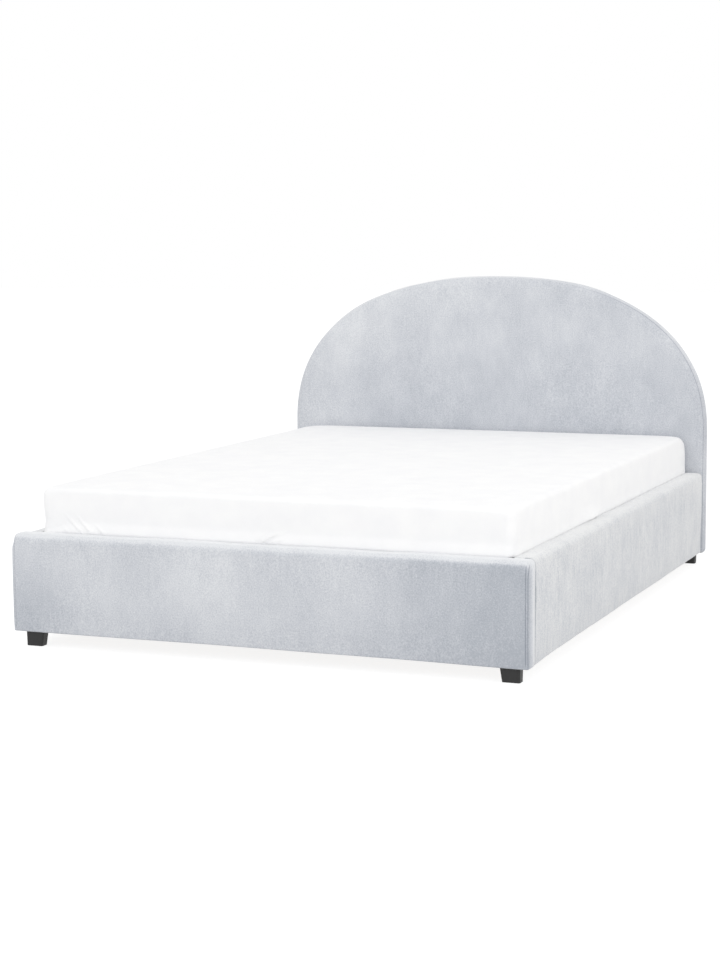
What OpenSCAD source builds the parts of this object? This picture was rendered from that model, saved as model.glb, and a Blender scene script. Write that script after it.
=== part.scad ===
// Upholstered double bed with an arched headboard and a lift-up storage base.
// Millimetres. X runs across the bed, Y from foot to head, Z up.
// The origin is on the floor at the middle of the bed's outline.

/* [Mattress] */
// Width of the mattress
mattress_w = 1406; // [1200:2:1600]
// Length of the mattress
mattress_l = 1990; // [1890:10:2090]
// Thickness of the mattress
mattress_h = 180; // [150:5:240]
// Radius of the mattress's long edges
mattress_edge = 28; // [12:1:36]
// Radius of the mattress's upright corners
mattress_corner = 24; // [20:2:80]
// How far the top swells above its edges
mattress_crown = 4; // [2:1:12]
// How far each side is drawn in between its corners
side_draw = 3; // [0:1:5]
// Thickness of the fitted sheet
sheet_t = 1.5; // [1:0.5:3]
// How far the sheet's hem turns under the mattress
hem_turn = 60; // [40:5:120]

/* [Base] */
// Clear gap on each side of the mattress
side_gap = 5; // [4:1:20]
// Clear gap between footboard and mattress
foot_gap = 10; // [8:1:25]
// Clear gap between mattress and headboard
head_gap = 10; // [9:1:30]
// Height of the padded rails and footboard
rail_h = 282; // [270:2:340]
// Thickness of a padded side rail
rail_t = 60; // [50:1:80]
// Thickness of the padded footboard
foot_t = 60; // [50:1:80]
// Thickness of the boards in the rails and the footboard
board_t = 25; // [18:1:30]
// Cloth and felt over a board's bare faces
wrap_t = 3; // [2:0.5:5]
// Padding over the boards' top edges
top_pad = 14; // [8:1:24]
// Padding over the footboard's ends
end_pad = 20; // [10:1:30]
// Radius of the padded top edges
pad_r = 16; // [8:1:22]
// Radius of the padded lower edges
low_r = 6; // [4:1:12]
// How far a padded face swells at its middle
pad_crown = 3; // [1:0.5:5]
// Rail top down to the mattress's underside
deck_drop = 52; // [44:2:64]

/* [Headboard] */
// Thickness of the headboard
head_t = 55; // [48:1:70]
// Floor to the top of the arch
head_h = 1008; // [900:4:1200]
// Floor to where the arch springs from the straight sides
arch_spring = 460; // [420:10:560]
// Fullness of the arch, 2 is an ellipse and more is squarer
arch_power = 2.3; // [2:0.05:2.8]
// Radius of the headboard's lower corners
head_corner = 12; // [8:1:30]
// How far the headboard stands past each rail
head_over = 4; // [0:1:12]
// Thickness of the board inside the headboard
head_board_t = 22; // [16:1:25]
// Padding beyond the headboard board's edge
head_rim = 14; // [10:1:24]
// How far the padded face falls back towards its rim
head_fall = 3; // [1:0.5:6]
// How deep the padded rim is rounded
head_round = 15; // [8:1:20]
// Width of cover stapled round the back
back_turn = 26; // [15:1:40]

/* [Feet and floor] */
// Height of the feet
leg_h = 44; // [34:2:80]
// Width of a corner foot at the floor
foot_w = 50; // [36:1:60]
// Depth of a corner foot along the bed
foot_deep = 30; // [28:1:50]
// How far a corner foot's inner face leans in towards its top
foot_lean = 7; // [0:1:12]
// Bed side to a corner foot's middle
foot_from_side = 54; // [40:1:70]
// Footboard's face to a front foot's middle
foot_from_front = 37; // [36:1:50]
// Headboard's back to a rear foot's middle
foot_from_back = 22; // [18:1:30]
// Diameter of a middle foot
mid_foot_d = 44; // [34:1:60]
// Width of the middle floor rail
mid_rail_w = 50; // [40:1:70]
// Thickness of the floor's rails and battens
batten_t = 20; // [16:1:24]
// Thickness of the floor panels
floor_t = 6; // [4:1:9]

/* [Slatted platform] */
// Width of the platform's square tubes
tube_w = 30; // [25:1:40]
// Height of the platform's square tubes
tube_h = 25; // [20:1:30]
// Wall of the platform's tubes
tube_wall = 1.5; // [1:0.25:2.5]
// Clear gap from the platform's ends to footboard and headboard
platform_gap = 22; // [18:1:40]
// Slats in each row
slat_count = 14; // [10:1:16]
// Width of a slat
slat_w = 53; // [40:1:68]
// Thickness of a slat
slat_t = 8; // [6:0.5:12]
// Upward bend of a slat at its middle
slat_rise = 10; // [6:1:14]

/* [Lift mechanism] */
// Thickness of the base plates
base_plate_t = 4; // [3:0.5:5]
// Thickness of the arms
arm_t = 4; // [3:0.5:5]
// Thickness of the platform's hinge plates
top_plate_t = 4; // [3:0.5:5]
// Half the width of an arm
arm_r = 14; // [12:0.5:16]
// Radius of the pivot pins
pin_r = 5; // [4:0.25:6]
// Radius of a strut's cylinder
strut_r = 11; // [9:0.5:12]
// Radius of a strut's rod
rod_r = 4; // [3:0.5:5]
// Headboard face to the front arm's lower pivot
front_base_back = 652; // [648:1:656]
// Mattress underside down to the front arm's lower pivot
front_base_drop = 156; // [153:1:159]
// Headboard face to the front arm's upper pivot
front_top_back = 313; // [310:1:316]
// Mattress underside down to the front arm's upper pivot
front_top_drop = 35; // [33:1:37]
// Headboard face to the rear arm's lower pivot
rear_base_back = 465; // [461:1:469]
// Mattress underside down to the rear arm's lower pivot
rear_base_drop = 149; // [146:1:152]
// Headboard face to the rear arm's upper pivot
rear_top_back = 228; // [225:1:231]
// Mattress underside down to the rear arm's upper pivot
rear_top_drop = 32; // [30:1:34]
// Headboard face to the strut's lower pivot
strut_low_back = 277; // [272:1:282]
// Mattress underside down to the strut's lower pivot
strut_low_drop = 164; // [158:1:168]
// Headboard face to the strut's upper pivot
strut_top_back = 608; // [604:1:612]
// Mattress underside down to the strut's upper pivot
strut_top_drop = 71; // [68:1:74]

/* [Hidden] */

$fn = 48;

// Outline of the whole bed
in_x = mattress_w / 2 + side_gap;
out_x = in_x + rail_t;
base_l = foot_t + foot_gap + mattress_l + head_gap;
y_front = -(base_l + head_t) / 2;
y_in = y_front + foot_t;
y_head = y_front + base_l;
y_back = y_head + head_t;
z_low = leg_h;
z_top = z_low + rail_h;
deck_z = z_top - deck_drop;

// Boards inside the padding
board_x = in_x + wrap_t;
board_z = z_low + wrap_t;
board_top = z_top - top_pad;
head_board_y = y_head + head_t - head_board_t - 3;
cloth_t = 1;
turn_t = 2;

// Corner brackets and their bolts
bracket_leg = 60;
bracket_t = 3;
bolt_r = 3;
bolt_fit = 0.1;
bolt_bite = 18;
bolt_head_r = 6;
bolt_head_t = 4;
bracket_bolt_in = 38;

// Feet
stud_r = 4;
stud_up = 22;
stud_down = 24;
foot_draft = 1;
foot_round = 5;
mid_foot_y = 400;

// Floor of the storage space
floor_z = z_low + batten_t;
ledge_w = 20;
batten_w = 45;
batten_ys = [-500, 0, 500];
angle_leg = 40;
angle_w = 30;
angle_t = 2;
panel_gap = 1;

// Platform, worked down from the mattress
rest_gap = 0.3;
slat_top = deck_z - rest_gap;
slat_end_top = slat_top - slat_rise;
holder_base = 2;
tube_top = slat_end_top - slat_t - holder_base;
tube_low = tube_top - tube_h;
platform_y0 = y_in + platform_gap;
platform_y1 = y_head - platform_gap;

// Layers of the lift beside each rail, from the rail inwards
layer_gap = 1;
rivet_gap = 3;
base_plate_x = in_x - base_plate_t;
rear_arm_x = base_plate_x - layer_gap - arm_t;
front_arm_x = rear_arm_x - rivet_gap - arm_t;
hinge_plate_x = front_arm_x - layer_gap - top_plate_t;
tube_x = hinge_plate_x - tube_w;
eye_w = 12;
eye_r = 9;
strut_x = hinge_plate_x - 7;
pin_fit = 0.05;
tuck = 0.03;
open_eye_fit = 4.4;

// Pivots as [y, z]
function pivot(back, drop) = [y_head - back, deck_z - drop];
front_base = pivot(front_base_back, front_base_drop);
front_top = pivot(front_top_back, front_top_drop);
rear_base = pivot(rear_base_back, rear_base_drop);
rear_top = pivot(rear_top_back, rear_top_drop);
strut_low = pivot(strut_low_back, strut_low_drop);
strut_top = pivot(strut_top_back, strut_top_drop);

// Bolts of the base plates and hinge plates
plate_bolts = [
    front_base + [55, -12], rear_base + [-62, -18], rear_base + [62, -18], strut_low + [-58, -6]
];
hinge_bolt_z = tube_low + tube_h / 2;
hinge_bolt_fore = 75;
hinge_bolt_aft = 40;
hinge_plate_end = 15;
hinge_bolts = [
    [front_top[0] - hinge_bolt_fore, hinge_bolt_z], [rear_top[0] + hinge_bolt_aft, hinge_bolt_z]
];
m6_r = 3;
plate_bite = 16;
plate_half = 24;
plate_clear = 2;
plate_low = min(front_base[1], rear_base[1], strut_low[1]) - plate_half;

// Ledges that the closed platform rests on
pad_h = 3;
ledge_leg = 30;
ledge_t = 3;
ledge_z = tube_low - rest_gap - pad_h;
ledge_y = [y_in + 26, front_base[0] - 110];
foot_ledge_x = 600;
pad_l = 60;
pad_w = 20;
bracket_z = [z_low + 40, ledge_z - ledge_leg - 5];
bracket_bolt_z = [bracket_z[0] + 24, bracket_z[1] - 24];

// Colours
velvet = [0.79, 0.82, 0.86];
board_wood = [0.80, 0.68, 0.50];
slat_wood = [0.90, 0.80, 0.62];
black = [0.11, 0.11, 0.11];
steel = [0.55, 0.56, 0.58];
bright = [0.80, 0.81, 0.83];
linen = [0.97, 0.97, 0.97];

// Copies a piece on both sides of the bed
module both_sides() {
    children();
    mirror([1, 0, 0]) children();
}

module on_left() {
    mirror([1, 0, 0]) children();
}

// Puts a [y, z] outline upright along the bed, from x inwards by t towards +X
module side_plate(x, t) {
    translate([x, 0, 0]) rotate([90, 0, 90]) linear_extrude(t) children();
}

// A round bar along X at a [y, z] place, from x0 to x1
module cross_pin(at, x0, x1, r) {
    translate([x0, at[0], at[1]]) rotate([0, 90, 0]) cylinder(h = x1 - x0, r = r);
}

// A flat bar's outline from p to q with round ends, its sides a hair inside the ends' width
module link2d(p, q, r) {
    way = q - p;
    translate(p) circle(r);
    translate(q) circle(r);
    translate(p) rotate(atan2(way[1], way[0])) translate([0, tuck - r]) square([norm(way), 2 * (r - tuck)]);
}

function flat(lists) = [for (list = lists) each list];

// Corner arc about c from angle a, a quarter turn
function arc(c, r, a, n) = [for (i = [0:n]) c + r * [cos(a + 90 * i / n), sin(a + 90 * i / n)]];

// Rectangle from low to high with one radius at its lower corners and one at its upper
function soft_rect(low, high, r_low, r_high, n = 6) = concat(
    arc([low[0] + r_low, low[1] + r_low], r_low, 180, n),
    arc([high[0] - r_low, low[1] + r_low], r_low, 270, n),
    arc([high[0] - r_high, high[1] - r_high], r_high, 0, n),
    arc([low[0] + r_high, high[1] - r_high], r_high, 90, n));

// Section of a padded rail: bare side at 0, swelling outer side at t, from z 0 to h
function padded_section(t, h, crown, n = 8) =
    let (skin = t - crown, z0 = low_r, z1 = h - pad_r)
    concat(
        arc([2, 2], 2, 180, 2),
        arc([skin - low_r, low_r], low_r, 270, 5),
        [for (i = [1:n - 1]) let (z = z0 + (z1 - z0) * i / n)
            [skin + crown * (1 - pow(2 * i / n - 1, 2)), z]],
        arc([skin - pad_r, h - pad_r], pad_r, 0, 6),
        arc([10, h - 10], 10, 90, 4));

// Solid through a list of rings with equal counts, closed on a middle point at each end.
// The rings run away from a viewer who sees them anticlockwise.
module loft(rings, first_mid, last_mid) {
    n = len(rings[0]);
    m = len(rings);
    sides = [for (j = [0:m - 2], i = [0:n - 1]) let (k = (i + 1) % n)
        each [[j * n + i, j * n + k, j * n + n + k], [j * n + i, j * n + n + k, j * n + n + i]]];
    first = [for (i = [0:n - 1]) [m * n, (i + 1) % n, i]];
    last = [for (i = [0:n - 1]) [m * n + 1, m * n - n + i, m * n - n + (i + 1) % n]];
    polyhedron(concat(flat(rings), [first_mid, last_mid]), concat(sides, first, last));
}

// Headboard outline as [x, z], moved in from its edge: straight sides, then a full arch
function arch_outline(inset) =
    let (a = out_x + head_over - inset, low = z_low + inset, rise = head_h - arch_spring - inset,
         r = max(head_corner - inset, 3), p = 2 / arch_power, steps = 44)
    concat(
        arc([-a + r, low + r], r, 180, 4),
        arc([a - r, low + r], r, 270, 4),
        [for (i = [0:steps]) let (t = 180 * i / steps)
            [sign(cos(t)) * a * pow(abs(cos(t)), p), arch_spring + rise * pow(abs(sin(t)), p)]]);

function arch_ring(inset, y) = [for (q = arch_outline(inset)) [q[0], y, q[1]]];

// Bolt places in the four corners: [side, end] with end -1 at the foot and 1 at the head
function end_y(end) = end < 0 ? y_in : y_head;

module headboard_board() {
    color(board_wood) difference() {
        translate([0, head_board_y + head_board_t, 0]) rotate([90, 0, 0])
            linear_extrude(head_board_t) polygon(arch_outline(head_rim));
        bracket_end_holes(1);
        foot_stud_holes(1);
    }
}

// Padding and velvet: crowned face, rounded rim, boxed edge and the turn stapled behind
module headboard_pad() {
    mid_z = (z_low + head_h) / 2;
    rim = [for (i = [0:5]) let (t = 90 * i / 5)
        [head_round * (1 - sin(t)), y_head + head_fall + head_round * (1 - cos(t))]];
    behind = y_back - cloth_t;
    rings = concat(
        [[240, y_head], [out_x - in_x, y_head], [head_round + 18, y_head + head_fall * 0.5]],
        rim,
        [[0, behind - 9], [2.5, behind - 2.5], [9, behind]],
        [[head_rim + back_turn, behind], [head_rim + back_turn, behind - turn_t]],
        [[head_rim, behind - turn_t], [head_rim, head_board_y], [240, head_board_y]]);
    color(velvet) difference() {
        loft([for (q = rings) arch_ring(q[0], q[1])], [0, y_head, mid_z], [0, head_board_y, mid_z]);
        bracket_end_holes(1);
        foot_stud_holes(1);
    }
}

module headboard_back_cloth() {
    color(black) translate([0, y_back, 0]) rotate([90, 0, 0])
        linear_extrude(cloth_t) polygon(arch_outline(12));
}

module footboard_board() {
    color(board_wood) difference() {
        translate([-(out_x - end_pad), y_in - wrap_t - board_t, board_z])
            cube([2 * (out_x - end_pad), board_t, board_top - board_z]);
        bracket_end_holes(-1);
        foot_stud_holes(-1);
    }
}

// Padded footboard: swelling face, rounded top and ends, open pocket for its board
module footboard_cover() {
    color(velvet) difference() {
        intersection() {
            translate([-out_x, y_in, z_low]) rotate([90, 0, 90])
                linear_extrude(2 * out_x) mirror([1, 0]) polygon(padded_section(foot_t, rail_h, pad_crown));
            translate([0, y_in + 1, 0]) rotate([90, 0, 0]) linear_extrude(foot_t + 2)
                polygon(soft_rect([-out_x, z_low], [out_x, z_top], low_r, pad_r));
            translate([0, 0, z_low - 1]) linear_extrude(rail_h + 2)
                polygon(soft_rect([-out_x, y_front], [out_x, y_in], 12, 5));
        }
        translate([-(out_x - end_pad), y_in - wrap_t - board_t, board_z])
            cube([2 * (out_x - end_pad), board_t, board_top - board_z]);
        bracket_end_holes(-1);
        foot_stud_holes(-1);
    }
}

module rail_board() {
    color(board_wood) difference() {
        translate([board_x, y_in + wrap_t, board_z])
            cube([board_t, y_head - y_in - 2 * wrap_t, board_top - board_z]);
        bracket_rail_holes();
        base_plate_holes();
    }
}

module left_rail_board() on_left() rail_board();
module right_rail_board() rail_board();

// Padded rail: swelling outer face and rounded ends, with a pocket for its board
module rail_cover() {
    color(velvet) difference() {
        intersection() {
            translate([in_x, y_head, z_low]) rotate([90, 0, 0])
                linear_extrude(y_head - y_in) polygon(padded_section(rail_t, rail_h, pad_crown));
            translate([in_x - 1, 0, 0]) rotate([90, 0, 90]) linear_extrude(rail_t + 2)
                polygon(soft_rect([y_in, z_low], [y_head, z_top], 3, pad_r));
            translate([0, 0, z_low - 1]) linear_extrude(rail_h + 2)
                polygon(soft_rect([in_x - 8, y_in], [out_x, y_head], 7, 7));
        }
        translate([board_x, y_in + wrap_t, board_z])
            cube([board_t, y_head - y_in - 2 * wrap_t, board_top - board_z]);
        bracket_rail_holes();
        base_plate_holes();
    }
}

module left_rail_cover() on_left() rail_cover();
module right_rail_cover() rail_cover();

// Holes along Y for the corner bolts that enter the footboard (-1) or the headboard (1)
module bracket_end_holes(end) {
    through = end < 0 ? wrap_t : head_board_y - y_head;
    both_sides() for (z = bracket_bolt_z)
        translate([in_x - bracket_bolt_in, end_y(end), z]) rotate([-90 * end, 0, 0])
            translate([0, 0, -1]) cylinder(h = 1 + through + bolt_bite, r = bolt_r + bolt_fit);
}

// Holes along X for the corner bolts that enter a rail's board
module bracket_rail_holes() {
    for (end = [-1, 1], z = bracket_bolt_z)
        cross_pin([end_y(end) - end * bracket_bolt_in, z], in_x - 1, board_x + bolt_bite, bolt_r + bolt_fit);
}

module corner_brackets() {
    h = bracket_z[1] - bracket_z[0];
    color(steel) both_sides() for (end = [-1, 1]) translate([0, end_y(end), 0])
        mirror([0, end < 0 ? 0 : 1, 0]) difference() {
            union() {
                translate([in_x - bracket_t, 0, bracket_z[0]]) cube([bracket_t, bracket_leg, h]);
                translate([in_x - bracket_leg, 0, bracket_z[0]]) cube([bracket_leg, bracket_t, h]);
            }
            for (z = bracket_bolt_z) {
                cross_pin([bracket_bolt_in, z], in_x - bracket_t - 1, in_x + 1, bolt_r + bolt_fit);
                translate([in_x - bracket_bolt_in, -1, z]) rotate([-90, 0, 0])
                    cylinder(h = bracket_t + 2, r = bolt_r + bolt_fit);
            }
        }
}

// Hexagon bolt along +Z with its head's underside at z 0
module hex_bolt(r, reach) {
    translate([0, 0, -bolt_head_t]) cylinder(h = bolt_head_t, r = bolt_head_r, $fn = 6);
    cylinder(h = reach, r = r);
}

module corner_bolts() {
    color(bright) both_sides() for (end = [-1, 1], z = bracket_bolt_z) {
        through = end < 0 ? wrap_t : head_board_y - y_head;
        translate([in_x - bracket_t, end_y(end) - end * bracket_bolt_in, z]) rotate([0, 90, 0])
            hex_bolt(bolt_r, bracket_t + wrap_t + bolt_bite - 1);
        translate([in_x - bracket_bolt_in, end_y(end) - end * bracket_t, z]) rotate([-90 * end, 0, 0])
            hex_bolt(bolt_r, bracket_t + through + bolt_bite - 1);
    }
}

// A corner foot's stud stands in the middle of the footboard's (-1) or the headboard's (1) board
stud_x = out_x - foot_from_side;
function stud_y(end) = end < 0 ? y_in - wrap_t - board_t / 2 : head_board_y + head_board_t / 2;
function under_board(end) = end < 0 ? wrap_t : head_rim;

module foot_stud_holes(end) {
    both_sides() translate([stud_x, stud_y(end), z_low - 1])
        cylinder(h = 1 + under_board(end) + stud_up, r = stud_r + bolt_fit);
}

// Rounded rectangle from its lowest to its highest corner
module foot_slab(low, high) {
    hull() for (x = [low[0] + foot_round, high[0] - foot_round], y = [low[1] + foot_round, high[1] - foot_round])
        translate([x, y]) circle(foot_round, $fn = 24);
}

// Moulded feet: plumb outside, leaning inwards on the inner face
module corner_feet() {
    slab = 0.5;
    half = [foot_w / 2, foot_deep / 2];
    color(black) both_sides() for (end = [-1, 1]) difference() {
        translate([stud_x, end < 0 ? y_front + foot_from_front : y_back - foot_from_back, 0]) hull() {
            linear_extrude(slab) foot_slab(-half, half);
            translate([0, 0, leg_h - slab]) linear_extrude(slab)
                foot_slab(-half - [foot_lean, foot_draft], half + [foot_draft, foot_draft]);
        }
        translate([stud_x, stud_y(end), leg_h - stud_down - 1])
            cylinder(h = stud_down + 2, r = stud_r + bolt_fit);
    }
}

module foot_studs() {
    color(bright) {
        both_sides() for (end = [-1, 1]) translate([stud_x, stud_y(end), leg_h - stud_down])
            cylinder(h = stud_down + under_board(end) + stud_up - 1, r = stud_r);
        for (y = [-mid_foot_y, mid_foot_y]) translate([0, y, leg_h - stud_down])
            cylinder(h = stud_down + batten_t - 4, r = stud_r);
    }
}

module middle_feet() {
    color(black) for (y = [-mid_foot_y, mid_foot_y]) translate([0, y, 0]) difference() {
        rotate_extrude() polygon([
            [0, 0], [mid_foot_d / 2 - 3, 0], [mid_foot_d / 2, 3], [mid_foot_d / 2 - 2, leg_h - 5],
            [mid_foot_d / 2 + 2, leg_h - 3], [mid_foot_d / 2 + 2, leg_h], [0, leg_h]]);
        translate([0, 0, leg_h - stud_down - 1]) cylinder(h = stud_down + 2, r = stud_r + bolt_fit);
    }
}

// Strips screwed inside the rails, under the floor panels' edges
module floor_ledges() {
    color(board_wood) both_sides() difference() {
        translate([in_x - ledge_w, y_in, z_low]) cube([ledge_w, y_head - y_in, batten_t]);
        base_plate_room();
    }
}

module floor_middle_rail() {
    color(board_wood) difference() {
        translate([-mid_rail_w / 2, y_in, z_low]) cube([mid_rail_w, y_head - y_in, batten_t]);
        for (y = [-mid_foot_y, mid_foot_y]) translate([0, y, z_low - 1])
            cylinder(h = batten_t - 2, r = stud_r + bolt_fit);
    }
}

module middle_rail_angles() {
    color(steel) for (end = [-1, 1]) translate([-angle_w / 2, end_y(end), floor_z])
        mirror([0, end < 0 ? 0 : 1, 0]) {
            cube([angle_w, angle_leg, angle_t]);
            cube([angle_w, angle_t, angle_leg]);
        }
}

module floor_battens() {
    reach = in_x - ledge_w - mid_rail_w / 2;
    color(board_wood) both_sides() for (y = batten_ys)
        translate([mid_rail_w / 2, y - batten_w / 2, z_low]) cube([reach, batten_w, batten_t]);
}

// Four panels with a notch round each angle of the middle rail
// Room round a base plate, which notches the floor where low rails bring the plate down to it
module base_plate_room() {
    reach = plate_half + plate_clear;
    translate([base_plate_x - plate_clear, front_base[0] - reach, plate_low - plate_clear])
        cube([base_plate_t + 2 * plate_clear, strut_low[0] - front_base[0] + 2 * reach, 2 * reach]);
}

module floor_panels() {
    half = (y_head - y_in) / 2;
    color(board_wood) both_sides() for (end = [-1, 1]) difference() {
        translate([panel_gap / 2, end < 0 ? y_in + panel_gap : y_in + half + panel_gap / 2, floor_z])
            cube([in_x - 2 * panel_gap, half - 1.5 * panel_gap, floor_t]);
        translate([-1, end_y(end) - (end < 0 ? 1 : angle_leg + 2), floor_z - 1])
            cube([angle_w / 2 + 3, angle_leg + 3, floor_t + 2]);
        base_plate_room();
    }
}

// Steel angle along a rail: one leg on the rail, the other under the platform's side tube
module side_ledge() {
    color(steel) translate([0, ledge_y[0], 0]) {
        reach = in_x - tube_x - tube_w / 2 + pad_w / 2;
        translate([in_x - reach, 0, ledge_z - ledge_t]) cube([reach, ledge_y[1] - ledge_y[0], ledge_t]);
        translate([in_x - ledge_t, 0, ledge_z - ledge_leg])
            cube([ledge_t, ledge_y[1] - ledge_y[0], ledge_leg]);
    }
}

module left_platform_ledge() on_left() side_ledge();
module right_platform_ledge() side_ledge();

module foot_platform_ledge() {
    reach = platform_y0 - y_in + tube_w / 2 + pad_w / 2;
    color(steel) translate([-foot_ledge_x, y_in, 0]) {
        translate([0, 0, ledge_z - ledge_t]) cube([2 * foot_ledge_x, reach, ledge_t]);
        translate([0, 0, ledge_z - ledge_leg]) cube([2 * foot_ledge_x, ledge_t, ledge_leg]);
    }
}

// Rubber pads that the platform's tubes come down on
module ledge_pads() {
    color(black) {
        both_sides() for (y = [ledge_y[0] + 60, (ledge_y[0] + ledge_y[1]) / 2, ledge_y[1] - 60])
            translate([tube_x + tube_w / 2 - pad_w / 2, y - pad_l / 2, ledge_z]) cube([pad_w, pad_l, pad_h]);
        for (x = [-foot_ledge_x + 80, 0, foot_ledge_x - 80])
            translate([x - pad_l / 2, platform_y0 + tube_w / 2 - pad_w / 2, ledge_z]) cube([pad_l, pad_w, pad_h]);
    }
}

// Holes along X for the base plates' bolts
module base_plate_holes() {
    for (at = plate_bolts) cross_pin(at, in_x - 1, board_x + plate_bite, m6_r + bolt_fit);
}

// Plate on the rail that carries both arms and the strut
module base_plate() {
    color(steel) difference() {
        side_plate(base_plate_x, base_plate_t) {
            link2d(front_base, rear_base, plate_half);
            link2d(rear_base, strut_low, plate_half);
        }
        for (at = plate_bolts) cross_pin(at, base_plate_x - 1, in_x + 1, m6_r + bolt_fit);
        for (at = [front_base, rear_base, strut_low]) cross_pin(at, base_plate_x - 1, in_x + 1, pin_r);
    }
}

module left_base_plate() on_left() base_plate();
module right_base_plate() base_plate();

module base_plate_bolts() {
    color(bright) both_sides() for (at = plate_bolts)
        translate([base_plate_x, at[0], at[1]]) rotate([0, 90, 0])
            hex_bolt(m6_r, base_plate_t + wrap_t + plate_bite - 1);
}

// Pins fixed in the base plates: a shoulder, the pivot and a riveted head
module base_pivot_pins() {
    head = 2.5;
    color(bright) both_sides() {
        cross_pin(rear_base, rear_arm_x - head, in_x, pin_r);
        cross_pin(rear_base, rear_arm_x - head, rear_arm_x, pin_r + 5);
        cross_pin(rear_base, rear_arm_x + arm_t, base_plate_x, pin_r + 4);
        cross_pin(front_base, front_arm_x - head, in_x, pin_r);
        cross_pin(front_base, front_arm_x - head, front_arm_x, pin_r + 5);
        cross_pin(front_base, front_arm_x + arm_t, base_plate_x, pin_r + 4);
    }
}

// Pin through a strut's eye, from x inwards: shoulder, pin and clip
module strut_pin(at, x) {
    cross_pin(at, strut_x - eye_w / 2 - 2.5, x, pin_r);
    cross_pin(at, strut_x + eye_w / 2 + 0.3, x, pin_r + 2.5);
    cross_pin(at, strut_x - eye_w / 2 - 2.5, strut_x - eye_w / 2 - 0.3, pin_r + 2.5);
}

module strut_low_pins() {
    color(bright) both_sides() {
        strut_pin(strut_low, base_plate_x);
        cross_pin(strut_low, base_plate_x, in_x, pin_r);
    }
}

module strut_top_pins() {
    color(bright) both_sides() {
        strut_pin(strut_top, front_arm_x);
        cross_pin(strut_top, front_arm_x, front_arm_x + arm_t, pin_r);
    }
}

// Long arm with a lug that the strut pushes on
module front_arm() {
    way = (front_top - front_base) / norm(front_top - front_base);
    up = [-way[1], way[0]];
    lug_r = arm_r - 2;
    color(steel) difference() {
        union() {
            side_plate(front_arm_x, arm_t) link2d(front_base, front_top, arm_r);
            side_plate(front_arm_x, arm_t) union() {
                translate(strut_top) circle(lug_r);
                polygon([
                    front_base - way * 6 + up * 3, strut_top - way * 11, strut_top + way * 11,
                    front_base + way * 135 + up * 3]);
            }
        }
        for (at = [front_base, front_top])
            cross_pin(at, front_arm_x - 1, front_arm_x + arm_t + 1, pin_r + pin_fit);
        cross_pin(strut_top, front_arm_x - 1, front_arm_x + arm_t + 1, pin_r);
    }
}

module left_front_arm() on_left() front_arm();
module right_front_arm() front_arm();

// Short arm, whose upper eye is wide enough for the platform's steady turn
module rear_arm() {
    color(steel) difference() {
        side_plate(rear_arm_x, arm_t) link2d(rear_base, rear_top, arm_r);
        cross_pin(rear_base, rear_arm_x - 1, rear_arm_x + arm_t + 1, pin_r + pin_fit);
        cross_pin(rear_top, rear_arm_x - 1, rear_arm_x + arm_t + 1, pin_r + open_eye_fit);
    }
}

module left_rear_arm() on_left() rear_arm();
module right_rear_arm() rear_arm();

// Strut measured along its own line, from the lower eye to the upper
strut_way = strut_top - strut_low;
strut_len = norm(strut_way);
cylinder_end = strut_len - 58;
strut_bore = rod_r + 4;

// Lays a strut piece drawn along +Z from the lower eye on the strut's line
module along_strut() {
    translate([strut_x, strut_low[0], strut_low[1]])
        rotate([atan2(strut_way[1], strut_way[0]) - 90, 0, 0]) children();
}

module strut_eye(at) {
    cross_pin(at, strut_x - eye_w / 2, strut_x + eye_w / 2, eye_r);
}

module eye_bore(at) {
    cross_pin(at, strut_x - eye_w, strut_x + eye_w, pin_r + pin_fit);
}

module strut_cylinder() {
    color(black) difference() {
        union() {
            strut_eye(strut_low);
            along_strut() {
                cylinder(h = 18, r = 5.5);
                translate([0, 0, 14]) cylinder(h = 4, r1 = 6, r2 = strut_r);
                translate([0, 0, 18]) cylinder(h = cylinder_end - 18, r = strut_r);
            }
        }
        eye_bore(strut_low);
        along_strut() translate([0, 0, 30]) cylinder(h = cylinder_end - 28, r = strut_bore);
    }
}

module left_strut_cylinder() on_left() strut_cylinder();
module right_strut_cylinder() strut_cylinder();

module strut_rod() {
    color(bright) difference() {
        union() {
            strut_eye(strut_top);
            along_strut() {
                translate([0, 0, strut_len - 20]) cylinder(h = 16, r = 5.5);
                translate([0, 0, 92]) cylinder(h = strut_len - 92 - 10, r = rod_r);
            }
        }
        eye_bore(strut_top);
    }
}

module left_strut_rod() on_left() strut_rod();
module right_strut_rod() strut_rod();

// Plate on the platform's side tube with both upper pivots
module hinge_plate() {
    color(steel) difference() {
        side_plate(hinge_plate_x, top_plate_t) {
            link2d(front_top, rear_top, arm_r + 1);
            translate([hinge_bolts[0][0] - hinge_plate_end, tube_low + 1])
                square([hinge_bolts[1][0] - hinge_bolts[0][0] + 2 * hinge_plate_end, tube_h - 2]);
        }
        for (at = hinge_bolts)
            cross_pin(at, hinge_plate_x - 1, hinge_plate_x + top_plate_t + 1, m6_r + bolt_fit);
        for (at = [front_top, rear_top])
            cross_pin(at, hinge_plate_x - 1, hinge_plate_x + top_plate_t + 1, pin_r);
    }
}

module left_hinge_plate() on_left() hinge_plate();
module right_hinge_plate() hinge_plate();

module hinge_plate_bolts() {
    reach = top_plate_t + tube_w + 5;
    color(bright) both_sides() for (at = hinge_bolts)
        translate([hinge_plate_x + top_plate_t, at[0], at[1]]) rotate([0, -90, 0])
            union() {
                translate([0, 0, -3]) cylinder(h = 3, r = bolt_head_r, $fn = 6);
                cylinder(h = reach, r = m6_r);
                translate([0, 0, top_plate_t + tube_w]) cylinder(h = 4, r = bolt_head_r - 1, $fn = 6);
            }
}

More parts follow.
